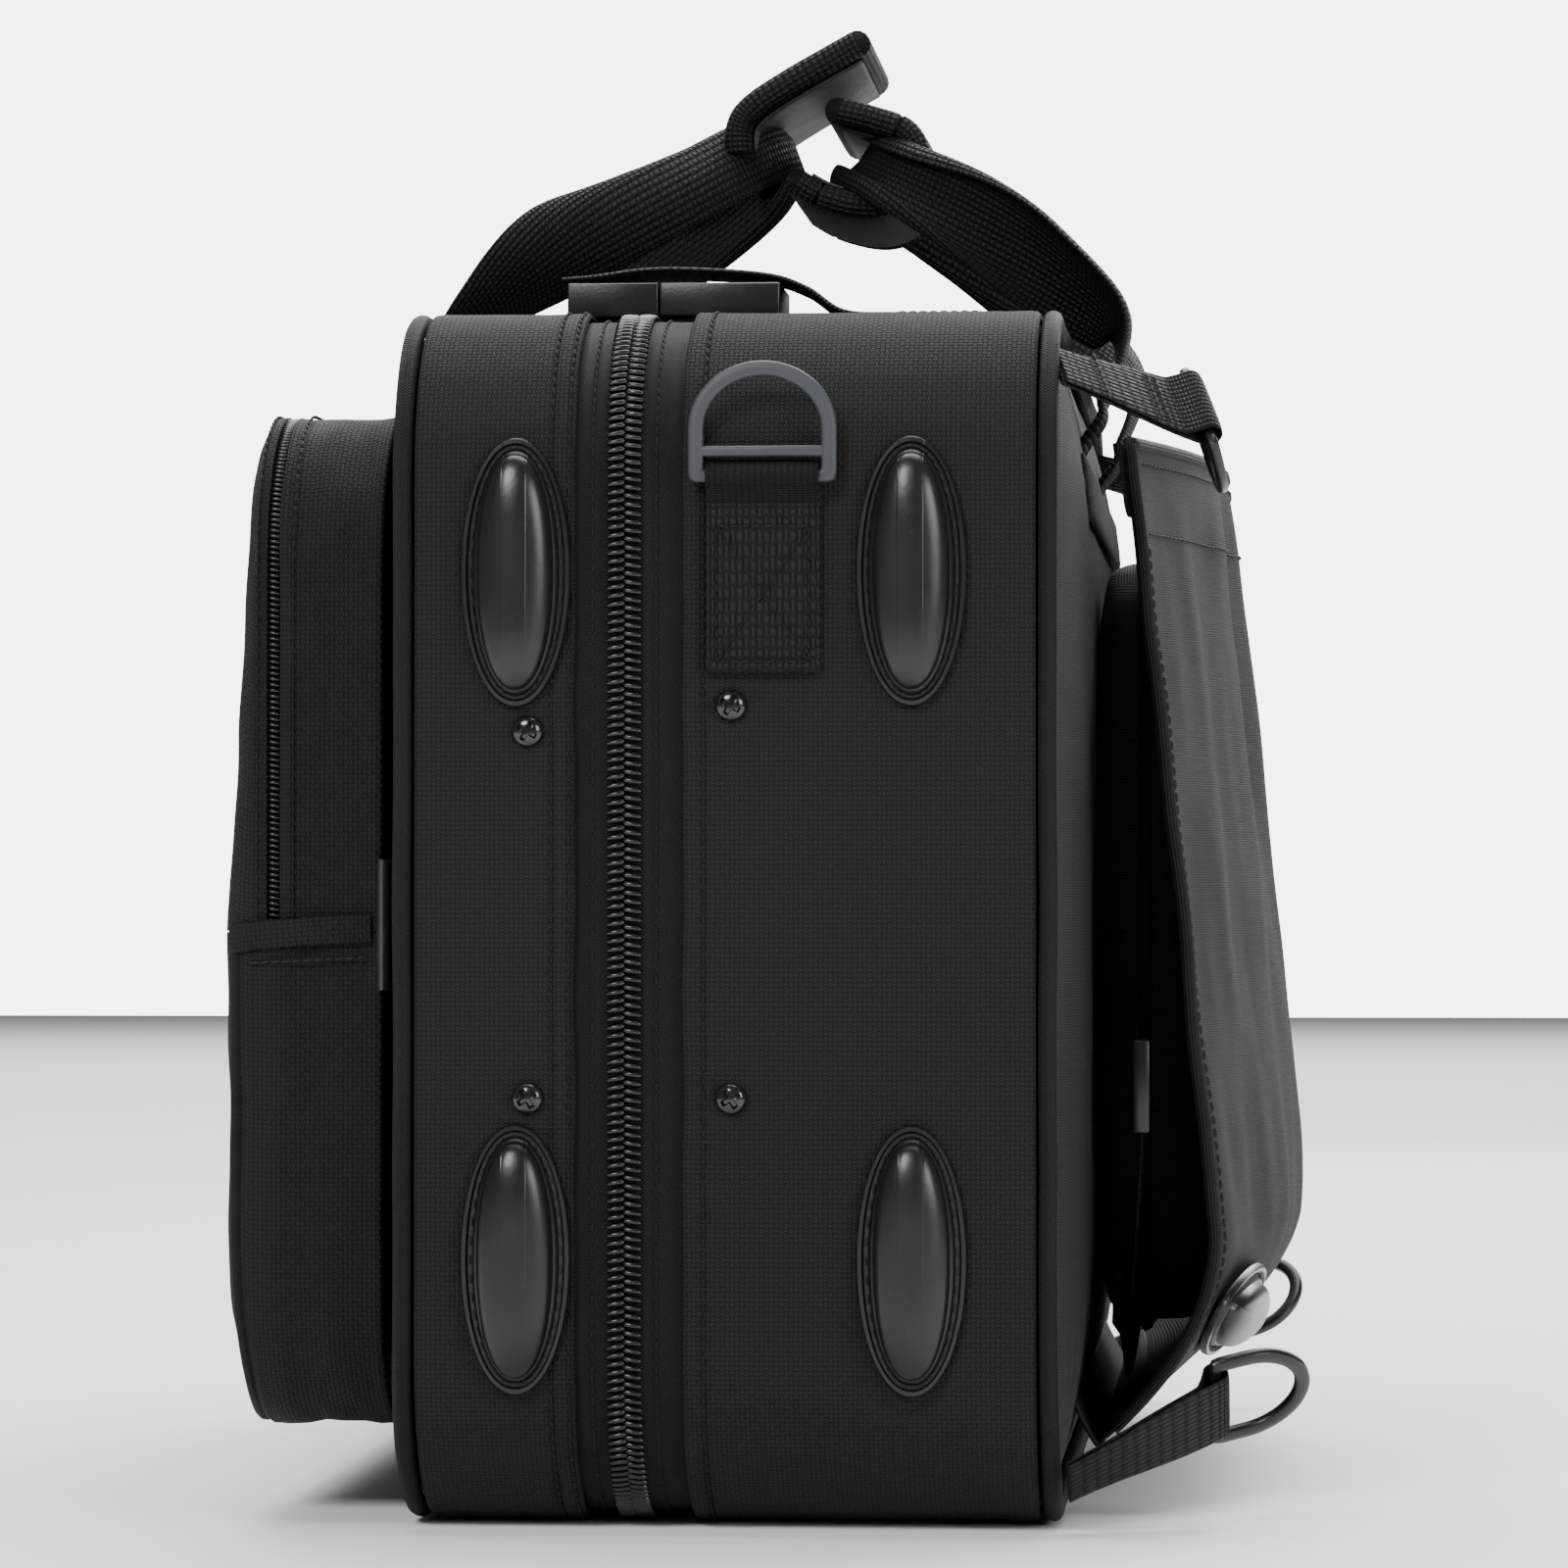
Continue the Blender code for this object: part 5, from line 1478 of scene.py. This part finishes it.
class CASE_OT_pocket(PieceMaker, bpy.types.Operator):
    """Sews the front pocket: its body, its zipped cover, its coil, its garages and its corded seam"""

    bl_idname = "case.pocket"
    bl_label = "Front pocket"

    def build(self, sizes):
        whole = pocket_shell()
        edges = [e for e in whole.edges if e.calc_length() > 0 and e.is_boundary]
        bmesh.ops.holes_fill(whole, edges=[e for e in edges if e.verts[0].co.y < -0.09], sides=500)
        low = cut(whole.copy(), (0, 0, POCKET_SPLIT), (0, 0, -1))
        back = cut(cut(whole.copy(), (0, 0, POCKET_SPLIT), (0, 0, 1)), (0, POCKET_ZIP + 0.0034, 0), (0, 1, 0))
        cover = cut(whole, (0, 0, POCKET_SPLIT + GAP), (0, 0, 1))
        cover = cut(cover, (0, POCKET_ZIP - 0.0001, 0), (0, -1, 0))
        join(low, back)
        bmesh.ops.recalc_face_normals(low, faces=low.faces)
        wall = dict(slot="ballistic_fabric", thickness=0.0020, offset=-1.0, sharp=50)
        piece("pocket_skin", low, "wall_cloth", "lid", replaces=("pocket_body",), **wall)
        piece("pocket_lid", cover, "wall_cloth", "pocket_cover", replaces=("pocket_cover",), **wall)

        start = POCKET_RADIUS * pi / 2 + (POCKET_SPLIT - POCKET_LOW - POCKET_RADIUS)
        stop = POCKET.length - 2 * (POCKET_HALF - POCKET_RADIUS) - start
        keys = ((-0.0960, 0.0016), (-0.0905, 0.0018), (-0.0900, 0.0024), (-0.0905, 0.0030), (-0.0960, 0.0030))

        def tape(u, v):
            y, inset = keys[round(v * 5) % 5]
            x, z, _, _ = POCKET.at(mix(start, stop, u), inset)
            return Vector((x, y, z)), (mix(start, stop, u), -y)

        made = patch(260, 5, tape)
        bmesh.ops.holes_fill(made, edges=made.edges, sides=8)
        piece("pocket_tape", made, "herringbone", "lid", "zip_coil", ("pocket_zip",), sharp=50)
        teeth = coil(POCKET, start, stop, sizes.pocket_pitch, 1, 0.0034, -0.0963, 0.0012, 0.0009, 0.0)
        piece("pocket_coil", teeth, "coil_nylon", "lid", "zip_coil", sharp=0)

        def seam_at(y, inset, out):
            def at(share):
                x, z, nx, nz = POCKET.at(mix(start, stop, share), inset)
                return Vector((x + nx * out, y, z + nz * out)), Vector((nx, 0, nz))

            return at

        runs = [(seam_at(-0.0895, 0, 0.0001), stop - start)]
        stitches("pocket_back_stitches", runs, "lid", "ballistic_fabric", pitch=0.0032)
        runs = [(seam_at(-0.0990, 0.0003, 0.0003), stop - start)]
        stitches("pocket_lid_stitches", runs, "pocket_cover", "ballistic_fabric", pitch=0.0032)

        builder = bmesh.new()
        runs = []
        garage_line = (
            (0.0035, -0.1062, 0.1512), (0.0006, -0.1030, 0.1516), (0.0, -0.0960, 0.1524),
            (0.0, -0.0860, 0.1532), (0.0, -0.0760, 0.1538), (0.0002, -0.0690, 0.1540),
        )
        for _, side in SIDES:
            x = side * 0.1958
            edge = [Vector((x - side * inset, y, z)) for inset, y, z in garage_line]
            fold = (lambda s, edge=edge: along(edge, s), lambda s: Vector((0, 0.1, 1)), lambda s: 0.0075)
            ribbon(*fold, 0.0016, 30, 14, builder=builder)

            def garage_seam(share, x=x, side=side):
                y, z = mix(-0.1010, -0.0700, share), mix(0.1450, 0.1465, share)
                return Vector((x, y, z)), Vector((side, 0, 0))

            runs.append((garage_seam, 0.031))
        piece("pocket_garages", builder, "wall_cloth", "lid", "ballistic_fabric", sharp=50)
        stitches("pocket_garage_stitches", runs, "lid", "ballistic_fabric", "light_thread", 0.0028)

        def cord(share):
            distance = mix(stop, POCKET.length + start, share)
            x, z, _, _ = POCKET.at(distance, 0.0026)
            return Vector((x, -0.1046 + pocket_lean(z) * 0.7, z))

        piece("pocket_cord", strand(cord, 0.0017, 320, 10), "herringbone", "lid", "piping", sharp=0)

        fold = ((0.1945, -0.0672), (0.1985, -0.0668), (0.2000, -0.0655), (0.1985, -0.0640), (0.1945, -0.0636))
        tab = [Vector((x, y, 0.155)) for x, y in fold]
        made = ribbon(lambda s: along(tab, s), lambda s: Vector((0, 0, 1)), lambda s: 0.034, 0.0005, 24, 14)
        piece("seam_tab", made, "satin", "lid", "webbing", sharp=50)


# ---- Handles and their wrap ----

TOP = CASE_TOP
HANDLE_X = 0.090
FRONT_KNOTS = (
    (0.090, -0.0627, 0.296), (0.090, -0.0624, 0.3108), (0.088, -0.0490, 0.3250), (0.080, -0.0325, 0.3385),
    (0.0695, -0.0155, 0.3510), (0.055, 0.0045, 0.3640), (0.035, 0.0190, 0.3745), (0.0, 0.0255, 0.3810),
)
REAR_KNOTS = (
    (0.090, 0.1182, 0.296), (0.090, 0.1242, 0.311), (0.089, 0.1222, 0.323), (0.080, 0.1042, 0.339),
    (0.066, 0.0812, 0.353), (0.048, 0.0592, 0.365), (0.030, 0.0492, 0.371), (0.0, 0.0472, 0.373),
)
FRONT_LEAF = (
    (0.0140, 0.0560), (0.0140, 0.0650), (0.0180, 0.0710),
    (0.0285, 0.0780), (0.0400, 0.0845), (0.0490, 0.0895),
)
REAR_LEAF = (
    (0.0290, 0.0500), (0.0390, 0.0445), (0.0520, 0.0420), (0.0620, 0.0465),
    (0.0655, 0.0555), (0.0620, 0.0635), (0.0520, 0.0675), (0.0400, 0.0705),
)


class CASE_OT_handles(PieceMaker, bpy.types.Operator):
    """Bends the two webbing handles, which fold lengthwise into the wrap, and lays their ends down on the
    case
    """

    bl_idname = "case.handles"
    bl_label = "Handles"

    def build(self, sizes):
        kinds = (
            ("front", FRONT_KNOTS, Vector((0, -0.55, 0.83)), "lid", -1),
            ("rear", REAR_KNOTS, Vector((0, 0.65, 0.76)), "rear_case", 1),
        )
        for label, knots, gather, body, way in kinds:
            near = [Vector(knot) for knot in knots]
            path = near + [Vector((-knot.x, knot.y, knot.z)) for knot in reversed(near[:-1])]

            def blend(share):
                return min((1 - abs(2 * share - 1)) / 0.75, 1) ** 1.3

            def side(share):
                base = Vector((1 if share <= 0.5 else -1, 0, 0))
                return base * (1 - blend(share)) + gather * blend(share)

            def cup(share):
                return mix(0.02, 2.6, ease(blend(share)))

            made = ribbon(lambda s: along(path, s), side, lambda s: 0.0355, 0.0024, 190, 40, cup=cup)
            name = f"{label}_handle_web"
            piece(name, made, "webbing", f"{label}_handle", "webbing", (f"{label}_handle",), sharp=50)

            builder = bmesh.new()
            for _, x_side in SIDES:
                x = x_side * HANDLE_X
                y = near[0].y
                base = way * (DEPTH[label] + PIPING_RADIUS * 0.2)
                foot = [Vector((x, y, 0.298)), Vector((x, y, 0.293))]
                foot += [Vector((x, mix(y, base, 0.6), 0.284)), Vector((x, mix(y, base, 0.75), 0.272))]
                strap = (lambda s, foot=foot: along(foot, s), lambda s: Vector((1, 0, 0)), lambda s: 0.0362)
                ribbon(*strap, 0.0026, 14, 18, builder=builder)
            piece(f"{label}_handle_ends", builder, "webbing", body, "webbing", sharp=50)


class CASE_OT_wrap(PieceMaker, bpy.types.Operator):
    """Pads the wrap that closes round both handles: two nested leaves with bound edges and a soft lining"""

    bl_idname = "case.wrap"
    bl_label = "Handle wrap"

    def build(self, sizes):
        half = 0.0440
        for label, line in (("front", FRONT_LEAF), ("rear", REAR_LEAF)):
            path = [Vector((0, y, TOP + up)) for y, up in line]
            body = f"{label}_handle"

            def middle(share, x=0.0, offset=0.0):
                here = along(path, share)
                ahead = along(path, min(1, share + 0.01)) - along(path, max(0, share - 0.01))
                out = Vector((0, -ahead.z, ahead.y)).normalized()
                if label == "rear":
                    out = -out
                return Vector((x, here.y, here.z)) + out * offset

            leaf = (middle, lambda s: Vector((1, 0, 0)), lambda s: 2 * half)
            made = ribbon(*leaf, 0.0072, 60, 40, turns=(0.02, 0.98))
            wide = [e for e in made.edges if abs(e.verts[0].co.x - e.verts[1].co.x) > 0.004]
            bmesh.ops.subdivide_edges(made, edges=wide, cuts=3, use_grid_fill=True)
            mesh = inflated(made, 0.0016, 0.0014)
            node = f"{label}_handle_pad"
            pad = piece(
                f"{label}_wrap_leaf", mesh, "padded_cloth", body, "handle_pad", (node,), sharp=0, subdivide=0
            )

            def lining(u, v):
                x = mix(-half + 0.004, half - 0.004, u)
                return middle(mix(0.05, 0.95, v), x, -0.0042)

            soft_side = patch(50, 40, lining, (0.085, 0.06))
            name = f"{label}_wrap_lining"
            piece(name, soft_side, "soft_grip", body, "handle_pad", thickness=0.0010)

            def rim(share):
                run = (share % 1.0) * 4
                leg, part = int(run), run - int(run)
                if leg == 0:
                    return middle(mix(0.03, 0.97, part), half, -0.0004)
                if leg == 1:
                    return middle(0.97, mix(half, -half, part) or 1e-6, -0.0004)
                if leg == 2:
                    return middle(mix(0.97, 0.03, part), -half, -0.0004)
                return middle(0.03, mix(-half, half, part) or 1e-6, -0.0004)

            builder = bmesh.new()
            for leg in range(4):
                line = lambda s, leg=leg: rim((leg + s * 0.9999) / 4)
                strand(line, 0.0038, 60, 14, builder=builder)
            piece(f"{label}_wrap_binding", builder, "webbing", body, "handle_pad", sharp=0)


# ---- Lock straps, buckles and sliders ----


class CASE_OT_lock_straps(PieceMaker, bpy.types.Operator):
    """Clips the two lock straps over the zip"""

    bl_idname = "case.lock_straps"
    bl_label = "Lock straps"

    def build(self, sizes):
        over = TOP + GAP + 0.0090 + WEBBING / 2 + GAP
        line = (
            (-0.0228, over + 0.0004), (-0.0148, over + 0.0010), (0.0035, over + 0.0030),
            (0.0295, over + 0.0016), (0.0415, over - 0.0020), (0.0515, TOP + 0.0019),
            (0.0655, TOP + 0.00095), (0.0935, TOP + 0.00095),
        )
        for label, side in SIDES:
            x = side * 0.150
            path = [Vector((x, y, z)) for y, z in line]
            strap = (lambda s: along(path, s), lambda s: Vector((1, 0, 0)), lambda s: 0.0248)
            made = ribbon(*strap, 0.0022, 90, 18)
            node = f"lock_strap_{label}"
            piece(f"{node}_web", made, "webbing", body_of(node), "webbing", (node,), sharp=50)
            flat = Matrix.Translation((x, 0, 0))
            runs = box_stitch(flat, 0.0095, 0.0660, 0.0880, TOP + 0.00165)
            stitches(f"{node}_stitches", runs, body_of(node), "webbing", "light_thread", 0.0028)
            for part in ("socket", "plug"):
                node = f"buckle_{part}_{label}"
                made = rounded(merged_copy(node), 0.0007, 3)
                _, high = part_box(node)
                if part == "socket":
                    for y in (0.008, 0.012, 0.016):
                        low_corner = (x - 0.009, y, high.z - 0.0003)
                        block(made, low_corner, (x + 0.009, y + 0.0016, high.z + 0.0005), 0.0003)
                body = body_of(node)
                piece(f"{node}_shell", made, "black_plastic", body, "black_plastic", (node,), sharp=35)


def body_of(node):
    """The body that a CAD node rides on."""
    parent = frame["nodes"][node].parent
    return next(name for name, body in frame["bodies"].items() if body == parent)


class CASE_OT_sliders(PieceMaker, bpy.types.Operator):
    """Finishes the zip sliders and their pulls"""

    bl_idname = "case.sliders"
    bl_label = "Sliders"

    def build(self, sizes):
        for name in ("pocket", "main_near", "main_far"):
            for part, width in (("slider", 0.00035), ("pull", 0.0004)):
                node = f"{name}_{part}"
                made = rounded(merged_copy(node), width, 2)
                if part == "pull":
                    low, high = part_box(node)
                    middle = (low + high) / 2
                    long_x = high.x - low.x > high.z - low.z
                    reach = (0.006, 0.0022, 0.0009) if long_x else (0.0022, 0.0009, 0.006)
                    reach = Vector(reach)
                    block(made, middle - reach, middle + reach, 0.0004)
                body = body_of(node)
                piece(f"{node}_cast", made, "slider_metal", body, "slider_metal", (node,), sharp=35)


class CASE_OT_lining(PieceMaker, bpy.types.Operator):
    """Finishes the lined boards inside both halves"""

    bl_idname = "case.lining"
    bl_label = "Lining"

    def build(self, sizes):
        for half, _, _ in HALVES:
            node = frame["nodes"][f"{half}_shell"]
            node.data.materials.clear()
            node.data.materials.append(finish("lining"))


# ---- Panel, registration and the run ----

OPERATORS = (
    CASE_OT_stage,
    CASE_OT_walls,
    CASE_OT_panels,
    CASE_OT_zips,
    CASE_OT_bumpers,
    CASE_OT_screws,
    CASE_OT_end_rings,
    CASE_OT_corner_rings,
    CASE_OT_flap,
    CASE_OT_stowed_straps,
    CASE_OT_pocket,
    CASE_OT_handles,
    CASE_OT_wrap,
    CASE_OT_lock_straps,
    CASE_OT_sliders,
    CASE_OT_lining,
)


class CASE_PT_builder(bpy.types.Panel):
    """Lists the case's settings and the operators that build it"""

    bl_idname = "CASE_PT_builder"
    bl_label = "Flight Case"
    bl_space_type = "VIEW_3D"
    bl_region_type = "UI"
    bl_category = "Flight Case"

    def draw(self, context):
        for group in (context.scene.case_sizes, context.scene.case_colours):
            column = self.layout.column(align=True)
            for name in group.__annotations__:
                column.prop(group, name)
        column = self.layout.column()
        for operator in OPERATORS:
            column.operator(operator.bl_idname)


CLASSES = (CaseSizes, CaseColours, *OPERATORS, CASE_PT_builder)


def register():
    for each in CLASSES:
        bpy.utils.register_class(each)
    bpy.types.Scene.case_sizes = bpy.props.PointerProperty(type=CaseSizes)
    bpy.types.Scene.case_colours = bpy.props.PointerProperty(type=CaseColours)


def unregister():
    del bpy.types.Scene.case_sizes
    del bpy.types.Scene.case_colours
    for each in reversed(CLASSES):
        bpy.utils.unregister_class(each)


def main():
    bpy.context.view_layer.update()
    register()
    for operator in OPERATORS:
        group, name = operator.bl_idname.split(".")
        getattr(getattr(bpy.ops, group), name)()


if __name__ == "__main__":
    main()
